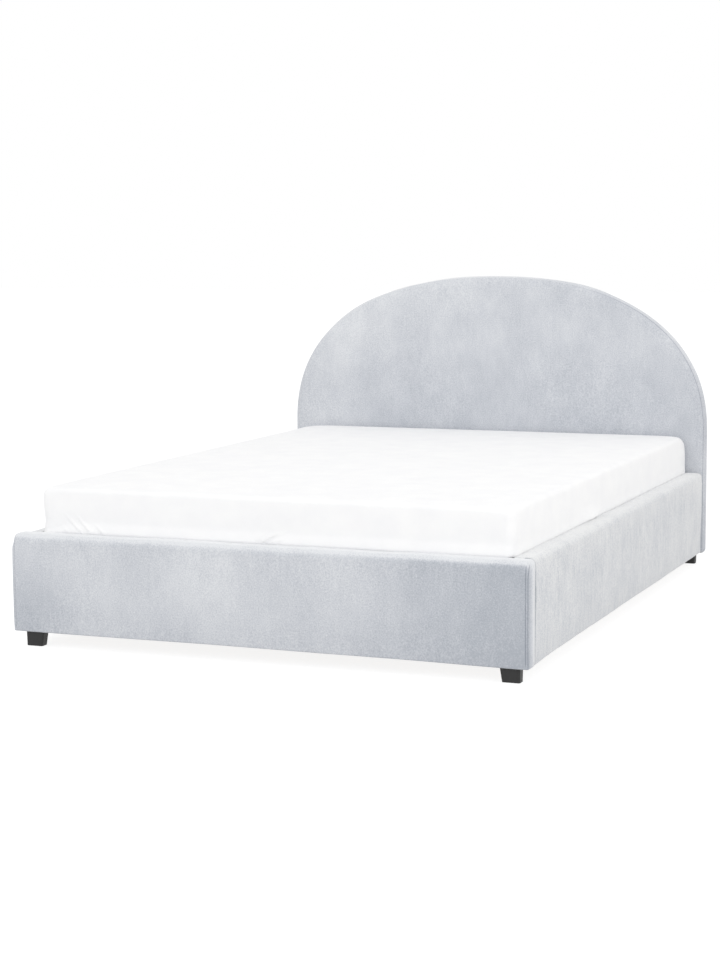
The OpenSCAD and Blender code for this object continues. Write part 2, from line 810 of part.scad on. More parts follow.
// Pins fixed in the hinge plates, the rear one with washers that hide the open eye
module platform_pivot_pins() {
    washer_r = arm_r;
    color(bright) both_sides() {
        cross_pin(front_top, hinge_plate_x, front_arm_x + arm_t + 2.5, pin_r);
        cross_pin(front_top, front_arm_x + arm_t, front_arm_x + arm_t + 2.5, pin_r + 4);
        cross_pin(front_top, hinge_plate_x + top_plate_t, front_arm_x, pin_r + 4);
        cross_pin(rear_top, hinge_plate_x, rear_arm_x + arm_t + 2.8, pin_r);
        cross_pin(rear_top, hinge_plate_x + top_plate_t, rear_arm_x - 1.8, pin_r + 4);
        cross_pin(rear_top, rear_arm_x - 1.8, rear_arm_x - 0.3, washer_r);
        cross_pin(rear_top, rear_arm_x + arm_t + 0.3, rear_arm_x + arm_t + 1.8, washer_r);
        cross_pin(rear_top, rear_arm_x + arm_t + 1.8, rear_arm_x + arm_t + 2.8, pin_r + 2);
    }
}

// Square tube along X or Y from one corner
module tube_y(x, y0, y1) {
    difference() {
        translate([x, y0, tube_low]) cube([tube_w, y1 - y0, tube_h]);
        translate([x + tube_wall, y0 - 1, tube_low + tube_wall])
            cube([tube_w - 2 * tube_wall, y1 - y0 + 2, tube_h - 2 * tube_wall]);
    }
}

module tube_across(x0, x1, y) {
    difference() {
        translate([x0, y, tube_low]) cube([x1 - x0, tube_w, tube_h]);
        translate([x0 - 1, y + tube_wall, tube_low + tube_wall])
            cube([x1 - x0 + 2, tube_w - 2 * tube_wall, tube_h - 2 * tube_wall]);
    }
}

module side_tube() {
    color(black) difference() {
        tube_y(tube_x, platform_y0, platform_y1);
        for (at = hinge_bolts) cross_pin(at, tube_x - 1, tube_x + tube_w + 1, m6_r + bolt_fit);
    }
}

module left_side_tube() on_left() side_tube();
module right_side_tube() side_tube();

module head_tube() {
    color(black) tube_across(-tube_x, tube_x, platform_y1 - tube_w);
}

module foot_tube() {
    color(black) tube_across(-tube_x, tube_x, platform_y0);
}

module middle_tube() {
    color(black) tube_y(-tube_w / 2, platform_y0 + tube_w, platform_y1 - tube_w);
}

module cross_tubes() {
    span = platform_y1 - platform_y0;
    color(black) both_sides() for (part = [1, 2])
        tube_across(tube_w / 2, tube_x, platform_y0 + span * part / 3 - tube_w / 2);
}

// Middles of the slats along the bed
holder_w = slat_w + 6;
slat_first = platform_y0 + holder_w / 2 + 4;
slat_pitch = (platform_y1 - platform_y0 - holder_w - 8) / (slat_count - 1);
function slat_y(i) = slat_first + i * slat_pitch;

// A slat bent up in the middle, from x0 to x1
slat_x0 = 5;
slat_x1 = tube_x + tube_w - 6;
slat_half = (slat_x1 - slat_x0) / 2;
bend_r = (slat_half * slat_half + slat_rise * slat_rise) / (2 * slat_rise);
function bend_z(x) = slat_top - bend_r + sqrt(bend_r * bend_r - x * x);

module slat(y) {
    steps = 10;
    xs = [for (i = [0:steps]) -slat_half + 2 * slat_half * i / steps];
    outline = concat(
        [for (x = xs) [x, bend_z(x)]],
        [for (i = [steps:-1:0]) [xs[i], bend_z(xs[i]) - slat_t]]);
    translate([slat_x0 + slat_half, y + slat_w / 2, 0]) rotate([90, 0, 0])
        linear_extrude(slat_w) polygon(outline);
}

module left_slats() color(slat_wood) on_left() for (i = [0:slat_count - 1]) slat(slat_y(i));
module right_slats() color(slat_wood) for (i = [0:slat_count - 1]) slat(slat_y(i));

// Plastic pockets round the slats' ends
pocket_in = 40;
pocket_h = slat_t + 0.4 + slat_rise * 4 * pocket_in / (2 * slat_half);
holder_h = holder_base + pocket_h + 1.6;

module pocket(x0, x1, y) {
    translate([x0, y - slat_w / 2 - 0.3, tube_top + holder_base - 0.2]) cube([x1 - x0, slat_w + 0.6, pocket_h]);
}

module slat_end_holders() {
    color(black) both_sides() for (i = [0:slat_count - 1]) difference() {
        translate([slat_x1 - pocket_in, slat_y(i) - holder_w / 2, tube_top])
            cube([pocket_in + 4, holder_w, holder_h]);
        pocket(slat_x1 - pocket_in - 1, slat_x1 + 0.3, slat_y(i));
    }
}

module slat_middle_holders() {
    reach = slat_x0 + pocket_in;
    color(black) for (i = [0:slat_count - 1]) difference() {
        translate([-reach, slat_y(i) - holder_w / 2, tube_top]) cube([2 * reach, holder_w, holder_h]);
        both_sides() pocket(slat_x0 - 0.3, reach + 1, slat_y(i));
    }
}

// Doubled webbing riveted to the foot tube, with its fold standing up to be pulled
module pull_strap() {
    strap_w = 38;
    strap_t = 3;
    fold_r = 2.5;
    high = deck_z - fold_r - 2;
    color(black) translate([-strap_w / 2, platform_y0, 0]) rotate([90, 0, 90]) linear_extrude(strap_w) {
        translate([-strap_t, tube_low + 2]) square([strap_t, high - tube_low - 2]);
        translate([-strap_t / 2 - 0.5, high]) circle(fold_r);
    }
}

// Outline of a pad as [x, y]: round corners and sides drawn in between them
function pad_outline(half_x, half_y, r, draw, per_corner = 5, per_side = 7) =
    let (corners = [[1, 1, 0], [-1, 1, 90], [-1, -1, 180], [1, -1, 270]])
    flat([for (k = [0:3]) let (
            c = corners[k], e = corners[(k + 1) % 4],
            mid = [c[0] * (half_x - r), c[1] * (half_y - r)],
            next = [e[0] * (half_x - r), e[1] * (half_y - r)],
            way = (next - mid) / norm(next - mid), out = [way[1], -way[0]])
        concat(
            arc(mid, r, c[2], per_corner),
            [for (i = [1:per_side - 1]) let (t = i / per_side)
                mid + out * r + (next - mid) * t - out * draw * sin(180 * t)])]);

// Profile of the mattress as [inset, z] from the top's edge down and round to the underside
function pad_profile(grow) =
    let (top = deck_z + sheet_t + mattress_h - mattress_crown, low = deck_z + sheet_t, e = mattress_edge, f = 12)
    concat(
        [[260, top + mattress_crown * 0.86 + grow], [110, top + mattress_crown * 0.45 + grow]],
        [for (t = [90, 60, 30, 0]) [e - (e + grow) * cos(t), top - e + (e + grow) * sin(t)]],
        [[-grow, (top - e + low + f) / 2]],
        [for (t = [0, 45, 90]) [f - (f + grow) * cos(t), low + f - (f + grow) * sin(t)]]);

function pad_ring(inset, z) =
    let (r = max(mattress_corner - inset, 8))
    [for (q = pad_outline(mattress_w / 2 - inset, mattress_l / 2 - inset, r, side_draw))
        [q[0], q[1] + mattress_y, z]];

mattress_y = y_in + foot_gap + mattress_l / 2;
mattress_top = deck_z + sheet_t + mattress_h;

module mattress() {
    rings = [for (q = pad_profile(0)) pad_ring(q[0], q[1])];
    color(linen) loft(rings, [0, mattress_y, mattress_top], [0, mattress_y, deck_z + sheet_t]);
}

// Sheet pulled over the mattress: out over the top, down the sides, under to the hem and back inside
module fitted_sheet() {
    skin = 0.2;
    low = deck_z + sheet_t;
    outer = concat(pad_profile(sheet_t), [[hem_turn, low - sheet_t]]);
    inner = concat(pad_profile(skin), [[hem_turn, low - skin]]);
    back = [for (i = [len(inner) - 1:-1:0]) inner[i]];
    rings = [for (q = concat(outer, back)) pad_ring(q[0], q[1])];
    color(linen) loft(rings, [0, mattress_y, mattress_top + sheet_t], [0, mattress_y, mattress_top + skin]);
}

headboard_board();
headboard_pad();
headboard_back_cloth();
footboard_board();
footboard_cover();
left_rail_board();
right_rail_board();
left_rail_cover();
right_rail_cover();
corner_brackets();
corner_bolts();
corner_feet();
foot_studs();
middle_feet();
floor_ledges();
floor_middle_rail();
middle_rail_angles();
floor_battens();
floor_panels();
left_platform_ledge();
right_platform_ledge();
foot_platform_ledge();
ledge_pads();
left_base_plate();
right_base_plate();
base_plate_bolts();
base_pivot_pins();
strut_low_pins();
left_front_arm();
right_front_arm();
strut_top_pins();
left_rear_arm();
right_rear_arm();
left_strut_cylinder();
right_strut_cylinder();
left_strut_rod();
right_strut_rod();
left_hinge_plate();
right_hinge_plate();
hinge_plate_bolts();
platform_pivot_pins();
left_side_tube();
right_side_tube();
head_tube();
foot_tube();
middle_tube();
cross_tubes();
left_slats();
right_slats();
slat_end_holders();
slat_middle_holders();
pull_strap();
mattress();
fitted_sheet();
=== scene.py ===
# %% [markdown]
# # An upholstered double bed, dressed for the camera
#
# The bed's measured skeleton comes from the CAD model. This lesson dresses it: padded velvet over the
# headboard, footboard and rails, a mattress in a fitted cotton sheet, and a finish for every board,
# tube, arm and bolt. Every length is in metres, in the same frame as the CAD model.

# %% Load the frame
import math

import bmesh
import bpy
import numpy as np
from mathutils import Matrix, Vector


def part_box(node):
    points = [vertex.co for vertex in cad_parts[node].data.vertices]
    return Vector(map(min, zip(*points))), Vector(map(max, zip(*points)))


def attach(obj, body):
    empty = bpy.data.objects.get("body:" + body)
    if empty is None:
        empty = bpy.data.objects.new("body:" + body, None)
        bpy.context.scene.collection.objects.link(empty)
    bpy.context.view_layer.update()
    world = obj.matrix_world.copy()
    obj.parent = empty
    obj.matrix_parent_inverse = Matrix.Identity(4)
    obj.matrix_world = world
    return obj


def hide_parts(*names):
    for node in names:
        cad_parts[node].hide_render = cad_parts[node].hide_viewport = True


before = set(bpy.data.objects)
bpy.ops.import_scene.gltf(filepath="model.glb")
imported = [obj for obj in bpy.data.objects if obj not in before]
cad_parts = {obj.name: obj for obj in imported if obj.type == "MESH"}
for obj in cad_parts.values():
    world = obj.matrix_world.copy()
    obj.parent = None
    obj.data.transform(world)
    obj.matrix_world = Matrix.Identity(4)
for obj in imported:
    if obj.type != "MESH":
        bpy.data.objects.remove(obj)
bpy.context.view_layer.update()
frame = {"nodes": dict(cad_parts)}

nodes, scene = frame["nodes"], bpy.context.scene

# %% [markdown]
# ## The bed's main sizes
#
# These are read off the CAD pieces, so a dressed piece always sits where its solid is.

# %% Read the main sizes
def span(node):
    """Lowest and highest corner of a CAD piece as two numpy arrays."""
    low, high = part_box(node)
    return np.array(low), np.array(high)


foot_low, foot_high = span("footboard_cover")
head_low, head_high = span("headboard_pad")
rail_low, rail_high = span("right_rail_cover")
bed_low, bed_high = span("mattress")
half_w = foot_high[0]
foot_face, foot_back = foot_low[1], foot_high[1]
head_face, head_back = rail_high[1], head_high[1] + 0.001
rail_in = rail_low[0]
z_low, z_top = foot_low[2], foot_high[2]
print("bed width", round(2 * half_w, 3), "length", round(head_back - foot_face, 3))
print("rails from", round(z_low, 3), "to", round(z_top, 3), "inner face at", round(rail_in, 3))

# %% [markdown]
# ## Seeded, smooth unevenness
#
# Foam under cloth is never dead flat. A sum of 24 sine waves in random directions gives a smooth,
# repeatable unevenness. It needs no image and almost no time.

# %% Waves
def waves(points, wavelength, seed):
    """Smooth noise at each point: the sum of sines of (direction . point) with random directions and
    phases, whose wavelengths lie round the one asked for. 1.6 standard deviations are scaled to 1."""
    rng, count = np.random.default_rng(seed), 24
    way = rng.normal(size=(count, 3))
    way /= np.linalg.norm(way, axis=1, keepdims=True)
    way *= (2 * math.pi / (wavelength * rng.uniform(0.75, 1.4, count)))[:, None]
    phase = rng.uniform(0, 2 * math.pi, count)
    total = np.sin(points.reshape(-1, 3) @ way.T + phase).sum(1)
    return (total / math.sqrt(count / 2) / 1.6).reshape(points.shape[:-1])


def ramp(x, low, high):
    """0 below low, 1 above high, and the smooth cubic 3t^2 - 2t^3 between them."""
    t = np.clip((x - low) / (high - low), 0.0, 1.0)
    return t * t * (3 - 2 * t)


def bell(x, middle, width):
    """1 at the middle, falling away on both sides as e to the power of -((x - middle) / width)^2."""
    return np.exp(-((x - middle) / width) ** 2)


print("waves at three points:", waves(np.eye(3), 0.3, 1).round(2))

# %% [markdown]
# ## From arrays to a mesh
#
# Each soft surface is worked out as a whole grid of points. One helper joins the grids into a mesh,
# merges the shared borders, turns the faces outwards and keeps the object at the origin.

# %% Mesh helper
WELD = 1e-5  # points closer than this are one point


def grid_faces(rows, cols, start, wrap):
    """Corner numbers of the squares between neighbouring rows and columns of a grid of points."""
    r, c = np.meshgrid(np.arange(rows - 1), np.arange(cols if wrap else cols - 1), indexing="ij")
    r, c = r.ravel(), c.ravel()
    d = (c + 1) % cols
    return start + np.stack([r * cols + c, r * cols + d, (r + 1) * cols + d, (r + 1) * cols + c], 1)


def make_piece(name, grids, body, material, outwards=True):
    """grids is a list of (points[rows, cols, 3], wrap). Velvet has two more numbers for each point:
    the seam number, 0 on open cloth and 1 in stitching or in painted shade, and the nap number, from
    -1 dark to 1 light, which is partly how the pile lies and partly painted light and shade."""
    points, faces, start = [], [], 0
    for grid, wrap in grids:
        rows, cols, wide = grid.shape
        points.append(grid.reshape(-1, wide))
        faces.append(grid_faces(rows, cols, start, wrap))
        start += rows * cols
    points, faces = np.concatenate(points), np.concatenate(faces)
    mesh = bpy.data.meshes.new(name)
    mesh.vertices.add(len(points))
    mesh.vertices.foreach_set("co", points[:, :3].astype(np.float32).ravel())
    mesh.loops.add(faces.size)
    mesh.loops.foreach_set("vertex_index", faces.astype(np.int32).ravel())
    mesh.polygons.add(len(faces))
    mesh.polygons.foreach_set("loop_start", np.arange(0, faces.size, 4, dtype=np.int32))
    mesh.update(calc_edges=True)
    mesh.validate()
    for label, values in zip(("seam", "nap"), points[:, 3:].T):
        mesh.attributes.new(label, "FLOAT", "POINT").data.foreach_set("value", values.astype(np.float32))
    work = bmesh.new()
    work.from_mesh(mesh)
    bmesh.ops.remove_doubles(work, verts=work.verts, dist=WELD)
    if outwards:
        bmesh.ops.recalc_face_normals(work, faces=work.faces)
    work.to_mesh(mesh)
    work.free()
    mesh.polygons.foreach_set("use_smooth", [True] * len(mesh.polygons))
    piece = bpy.data.objects.new(name, mesh)
    scene.collection.objects.link(piece)
    mesh.materials.append(material)
    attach(piece, body)
    print(name, len(mesh.vertices), "points", len(mesh.polygons), "faces")
    return piece


# %% [markdown]
# ## Colours and shader nodes
#
# Colours are written as the sRGB hex values that a paint chart would use, and one function turns them
# into the linear numbers that Blender works in. One more adds any shader node with its settings. A
# third is the recipe of every material on the bed: a pattern, a tone, a bump and a skin.

# %% Colour and node helpers
def colour(text):
    """Linear RGBA from an sRGB hex value: c/12.92 below 0.04045, else ((c + 0.055)/1.055)^2.4."""
    parts = [int(text[i:i + 2], 16) / 255 for i in (1, 3, 5)]
    return tuple(c / 12.92 if c <= 0.04045 else ((c + 0.055) / 1.055) ** 2.4 for c in parts) + (1.0,)


def add(tree, kind, inputs={}, **settings):
    """Adds a shader node. inputs are values or (node, socket) links; settings are its own properties."""
    node = tree.nodes.new(kind)
    for key, value in settings.items():
        setattr(node, key, value)
    for key, value in inputs.items():
        if isinstance(value, tuple) and isinstance(value[0], bpy.types.Node):
            tree.links.new(value[0].outputs[value[1]], node.inputs[key])
        else:
            node.inputs[key].default_value = value
    return node


def new_material(name):
    """An empty node material, with its tree and output node."""
    material = bpy.data.materials.new(name)
    material.use_nodes = True
    tree = material.node_tree
    tree.nodes.clear()
    return material, tree, tree.nodes.new("ShaderNodeOutputMaterial")


def set_ramp(node, stops):
    """Writes (position, hex colour) stops into a colour ramp."""
    ramp_stops = node.color_ramp.elements
    while len(ramp_stops) > 1:
        ramp_stops.remove(ramp_stops[-1])
    ramp_stops[0].position, ramp_stops[0].color = stops[0][0], colour(stops[0][1])
    for place, text in stops[1:]:
        ramp_stops.new(place).color = colour(text)


def patterned(name, pattern, stops, bump, skin, crushed_and_shaded=None):
    """pattern(tree, where) adds its nodes and returns the (node, socket) of the relief and of the shade.
    The shade picks a tone between the stops. bump is the relief's (strength, depth in metres). The last
    argument is the colour that the seam number multiplies the tone by: crushed pile in stitching, and
    painted shade in the groove at the rails' foot ends."""
    material, tree, out = new_material(name)
    relief, shade = pattern(tree, (add(tree, "ShaderNodeTexCoord"), "Object"))
    tone = add(tree, "ShaderNodeValToRGB", {"Fac": shade})
    set_ramp(tone, stops)
    base = (tone, "Color")
    # Darkens stitching, and paints shade into the groove at the rails' foot ends
    if crushed_and_shaded:
        seam = add(tree, "ShaderNodeAttribute", attribute_name="seam")
        base = add(tree, "ShaderNodeMix", {"Factor": (seam, "Fac"), "A": base, "B": crushed_and_shaded},
                   data_type="RGBA", blend_type="MULTIPLY"), "Result"
    relief = add(tree, "ShaderNodeBump", {
        "Strength": bump[0], "Distance": bump[1], "Height": relief})
    surface = add(tree, "ShaderNodeBsdfPrincipled", {
        "Base Color": base, "Normal": (relief, "Normal"), **skin})
    tree.links.new(surface.outputs["BSDF"], out.inputs["Surface"])
    return material


print("mid velvet is", tuple(round(c, 3) for c in colour("#CBCED4")[:3]))

# %% [markdown]
# ## Polyester velvet
#
# Short-pile velvet is brushed one way. Where the pile has been stroked the other way it catches the
# light differently, which shows as soft clouds 30 to 200 mm across and faint upright streaks. Seen at
# a low angle the pile's tips glow, so every edge and top is lighter than the face: that is the sheen.
# In a seam the pile is crushed and looks dark. The pile is 0.3 mm yarn, too fine to show, so its
# grain is drawn 4 mm across.

# %% Velvet
def velvet(name, tones, streaks, grain):
    """Three noises of falling size are added, each less its mean and times its weight: clouds, streaks
    and grain. With 0.5 and a tenth of the nap number, which carries the pile's lie and painted light
    and shade, the sum picks a tone from shade to light."""
    parts = [  # stretch upwards, patches in a metre, detail, roughness and weight
        (0.70, 8.0, 5.0, 0.6, 0.34),
        (0.25, 80.0, 2.0, 0.6, streaks),
        (0.90, 260.0, 2.0, 0.8, grain),
    ]

    def pile(tree, where):
        mean = 0.5 - 0.5 * sum(part[-1] for part in parts)
        nap = add(tree, "ShaderNodeAttribute", attribute_name="nap")
        total = add(tree, "ShaderNodeMath", {0: (nap, "Fac"), 1: 0.1, 2: mean}, operation="MULTIPLY_ADD")
        for upwards, scale, detail, rough, weight in parts:
            stretched = add(tree, "ShaderNodeMapping", {"Vector": where, "Scale": (1, 1, upwards)})
            noise = add(tree, "ShaderNodeTexNoise", {
                "Vector": (stretched, "Vector"), "Scale": scale, "Detail": detail, "Roughness": rough})
            total = add(tree, "ShaderNodeMath", {0: (noise, "Fac"), 1: weight, 2: (total, "Value")},
                        operation="MULTIPLY_ADD")
        return (noise, "Fac"), (total, "Value")

    skin = {"Roughness": 0.9, "Sheen Weight": 0.9, "Sheen Roughness": 0.36, "Specular IOR Level": 0.15}
    stops = list(zip((0.26, 0.50, 0.74), tones))
    return patterned(name, pile, stops, (0.25, 0.0012), skin, crushed_and_shaded=(0.52, 0.54, 0.58, 1.0))


ice_velvet = velvet("polyester_velvet_ice_grey", ("#B0B5BD", "#CBCED4", "#E2E4E7"), 0.12, 0.72)
# The rails' velvet has stronger streaks and grain, and its tones are lighter than the same cloth's on the
# boards: painted light
rail_velvet_painted_lighter = velvet("polyester_velvet_brushed_painted_lighter", ("#B4BAC2", "#D0D2D6", "#E6E7E7"), 0.38, 1.05)
print("made", ice_velvet.name, "and", rail_velvet_painted_lighter.name)

# %% [markdown]
# ## The other cloths
#
# The fitted sheet is bleached cotton percale: matt and nearly white, with a plain weave whose threads
# are 0.25 mm apart, drawn faintly and 2 mm apart so that it shows at all. The mattress's cover is
# knitted polyester, matt and off-white, in a honeycomb 3 mm across. The headboard's back is spun
# polypropylene, matt black with faint embossed dots 2 mm apart. The pull strap is woven polyester
# webbing, black with ribs 1.5 mm apart, drawn 3 mm apart.

# %% Cloths
def weave(tree, where):
    """Two sets of bands that cross make the relief, and a soft noise 70 mm across makes the shade."""
    bands = [(add(tree, "ShaderNodeTexWave", {"Vector": where, "Scale": 160.0, "Distortion": 0.6},
                  bands_direction=axis), "Fac") for axis in "XY"]
    soft = add(tree, "ShaderNodeTexNoise", {"Vector": where, "Scale": 14.0, "Detail": 3.0})
    both = add(tree, "ShaderNodeMath", dict(enumerate(bands)), operation="ADD")
    return (both, "Value"), (soft, "Fac")


def honeycomb(tree, where):
    """The distance to the nearest of a crowd of points, 320 in a metre."""
    knit = add(tree, "ShaderNodeTexVoronoi", {"Vector": where, "Scale": 320.0})
    return (knit, "Distance"), (knit, "Distance")


def dotted(tree, where):
    """Embossed dots, 450 in a metre, over fibres that are a little lighter and darker."""
    dots = add(tree, "ShaderNodeTexVoronoi", {"Vector": where, "Scale": 450.0, "Randomness": 0.2})
    fibre = add(tree, "ShaderNodeTexNoise", {"Vector": where, "Scale": 60.0, "Detail": 4.0})
    return (dots, "Distance"), (fibre, "Fac")


def ribbed(tree, where):
    """Level ribs. The wave node draws 3.2 bands for each unit of its scale."""
    ribs = add(tree, "ShaderNodeTexWave", {"Vector": where, "Scale": 105.0, "Distortion": 0.3},
               bands_direction="Z")
    return (ribs, "Fac"), (ribs, "Fac")


white_cotton = patterned(
    "cotton_percale_white", weave, [(0.3, "#F8F8F9"), (0.7, "#FCFCFC")], (0.06, 0.0004),
    {"Roughness": 0.85, "Sheen Weight": 0.05, "Specular IOR Level": 0.15})
knit_cover = patterned(
    "knitted_mattress_ticking", honeycomb, [(0.0, "#E6E6E3"), (0.6, "#F4F4F2")], (0.2, 0.0006),
    {"Roughness": 0.9, "Specular IOR Level": 0.15})
lining = patterned(
    "spun_polypropylene_black", dotted, [(0.35, "#1C1C1E"), (0.65, "#29292B")], (0.25, 0.0004),
    {"Roughness": 0.85, "Specular IOR Level": 0.25})
webbing = patterned(
    "polyester_webbing_black", ribbed, [(0.2, "#161617"), (0.8, "#2B2B2D")], (0.5, 0.0005),
    {"Roughness": 0.8, "Specular IOR Level": 0.2})
print("cloths:", white_cotton.name, knit_cover.name, lining.name, webbing.name)

# %% [markdown]
# ## A padded panel as one surface
#
# The headboard, footboard and rails are all the same kind of thing: a board, foam over its face, and
# velvet pulled round the edges. Such a panel has a face, a rim that rolls over, a boxing strip round
# the side and a back. The rim and the strip are rings that run round the outline. The face and the
# back are patches that are stretched between the four sides of the innermost ring, which keeps their
# squares even. A panel cut from a rounded cube would pinch at its corners and couldn't be an arch.

# %% Stretching a patch inside a ring
def patch_inside(ring, nx, nz):
    """Coons patch: for the four sides of a closed ring, blends bottom with top and left with right and
    takes away the blend of the four corners. The ring runs bottom, right, top, left."""
    bottom = ring[:nx + 1]
    right = ring[nx:nx + nz + 1]
    top = ring[nx + nz:2 * nx + nz + 1][::-1]
    left = np.concatenate([ring[2 * nx + nz:], ring[:1]])[::-1]
    s = np.linspace(0, 1, nx + 1)[None, :, None]
    t = np.linspace(0, 1, nz + 1)[:, None, None]
    across = (1 - t) * bottom[None] + t * top[None]
    upward = (1 - s) * left[:, None] + s * right[:, None]
    corners = ((1 - s) * (1 - t) * bottom[0] + s * (1 - t) * bottom[-1]
               + (1 - s) * t * top[0] + s * t * top[-1])
    return across + upward - corners


# %% [markdown]
# Two outlines are needed. Both give the same number of points for any inset, so rings can be stacked.
# The rounded rectangle has its own radius at the lower and upper corners. The arch has straight sides
# that run into one full curve.

# %% Outlines
def crowd(count, closer, times=7.0, samples=4001):
    """count + 1 places from 0 to 1, closer together inside the stretches named in closer: the running
    total of a density that is 1, and there higher, is divided into equal steps."""
    s = np.linspace(0, 1, samples)
    density = np.ones(samples)
    for a, b in closer:
        density += (times - 1) * (ramp(s, a - 0.02, a) * (1 - ramp(s, b, b + 0.02)))
    total = np.concatenate([[0], np.cumsum(density)])[:-1]
    return np.interp(np.linspace(0, total[-1], count + 1), total, s)


def steps(low, high, count):
    """Equal steps from low towards high, without high itself."""
    return np.linspace(low, high, count + 1)[:-1]


def rectangle_outline(low, high, r_low, r_high, nx, nz, arc=6, closer_x=(), closer_z=()):
    """Returns a function of inset (one number for each column) that gives the ring of points. A corner
    is its centre plus radius times (cos, sin), and the sides between corners are straight. Each column
    lies between two of the four corners, at a share of the way, and has the angle of its corner's arc."""
    starts = [180, 270, 0, 90]
    sx, sz = np.array([-1, 1, 1, -1]), np.array([-1, -1, 1, 1])
    radius = np.array([r_low, r_low, r_high, r_high])
    half = (np.array(high) - np.array(low)) / 2
    mid = (np.array(high) + np.array(low)) / 2
    along_x, along_z = crowd(nx - 2 * arc, closer_x), crowd(nz - 2 * arc, closer_z)
    which, angle, share = [], [], []
    for k, straight in enumerate([along_x, along_z, 1 - along_x[::-1], 1 - along_z[::-1]]):
        after, n = (k + 1) % 4, len(straight)
        which += [(k, k)] * arc + [(k, after)] * n + [(after, after)] * (arc - 1)
        angle += [*steps(starts[k] + 45, starts[k] + 90, arc)] + [starts[k] + 90] * n
        angle += [*steps(starts[k] + 90, starts[k] + 135, arc)[1:]]
        share += [0.0] * arc + list(straight) + [1.0] * (arc - 1)
    which, angle, share = np.array(which), np.radians(angle), np.array(share)

    def corner_point(k, inset):
        r = np.maximum(radius[k] - inset, 0.002)
        centre = np.stack([sx[k] * (half[0] - inset - r), sz[k] * (half[1] - inset - r)], -1)
        return mid + centre + r[:, None] * np.stack([np.cos(angle), np.sin(angle)], -1)

    def outline(inset):
        inset = np.broadcast_to(np.asarray(inset, float), angle.shape)
        a, b = corner_point(which[:, 0], inset), corner_point(which[:, 1], inset)
        return a + (b - a) * share[:, None]

    return outline


SPRING, POWER, SHOULDER = 0.460, 2.3, 48.0  # the arch's start height, its power p, its sides in degrees


def arch_outline(nx, nz, half, top, r_low=0.012, arc=6):
    """Returns the headboard's outline as a function of inset. The arch is x = a cos(t)^(2/p) and
    z = spring + rise sin(t)^(2/p), and the insets move a, the rise and the bottom together. Below the
    arch a point is a low corner's centre plus r (cos, sin), moved across the bottom or up a side."""
    low_n, bend, flat_n = nz // 3, steps(0, 45, arc), nx - 2 * arc + 1
    side, arch_n = steps(0, 1, low_n - arc), 2 * (nz - low_n) + nx
    turn = np.radians(np.concatenate([
        225 + bend, np.full(flat_n, 270), 270 + bend[1:], 315 + bend, np.full(len(side), 360),
        steps(0, SHOULDER, nz - low_n), steps(SHOULDER, 180 - SHOULDER, nx),
        steps(180 - SHOULDER, 180, nz - low_n), np.full(len(side), 180), 180 + bend]))
    across = np.concatenate([
        -np.ones(arc), np.linspace(-1, 1, flat_n), np.ones(arc - 1 + low_n), np.zeros(arch_n),
        -np.ones(low_n)])
    up = np.concatenate([np.zeros(nx + arc), side, np.zeros(arch_n), 1 - side, np.zeros(arc)])
    column = np.arange(len(turn))[:, None]
    on_arch = (column >= nx + low_n) & (column < nx + low_n + arch_n)
    c, s = np.cos(turn), np.sin(turn)

    def outline(inset):
        inset = np.broadcast_to(np.asarray(inset, float), turn.shape)
        a, low, rise = half - inset, head_low[2] + inset, top - SPRING - inset
        r = np.maximum(r_low - inset, 0.003)
        below = np.stack([across * (a - r) + r * c, low + r + r * s + up * (SPRING - low - r)], -1)
        arch = np.stack([
            np.sign(c) * a * np.abs(c) ** (2 / POWER), SPRING + rise * np.abs(s) ** (2 / POWER)], -1)
        return np.where(on_arch, arch, below)

    return outline


test_ring = arch_outline(120, 60, head_high[0], head_high[2])(0.0)
print("arch points", len(test_ring), "width and height", np.ptp(test_ring, axis=0).round(3))

# %% [markdown]
# ## Building the panel
#
# Going out from the middle, the profile is flat, turns over a quarter-round rim and runs back along
# the boxing strip. Rings are packed 0.7 mm apart near the rim, because a seam is only 2 mm wide and
# would vanish between wider ones. In a seam the cloth dips about 1 mm, where two layers are sewn and
# pull on the foam.

# %% Padded panel
INSETS = [0.050, 0.040, 0.032, 0.026, 0.021, 0.0175] + list(np.arange(0.0152, 0.0008, -0.0007))
SEAM_HALF, FULL_SEAM = 0.0011, 0.001  # half a seam's width, and the dip of one that is fully dark


def rim_depth(inset, r):
    """How far back a quarter-round rim of radius r lies, inset in from the edge: r - sqrt(r^2 -
    (r - inset)^2), and nothing further in than r."""
    return np.where(inset < r, r - np.sqrt(np.clip(r ** 2 - (r - inset) ** 2, 0, None)), 0.0)


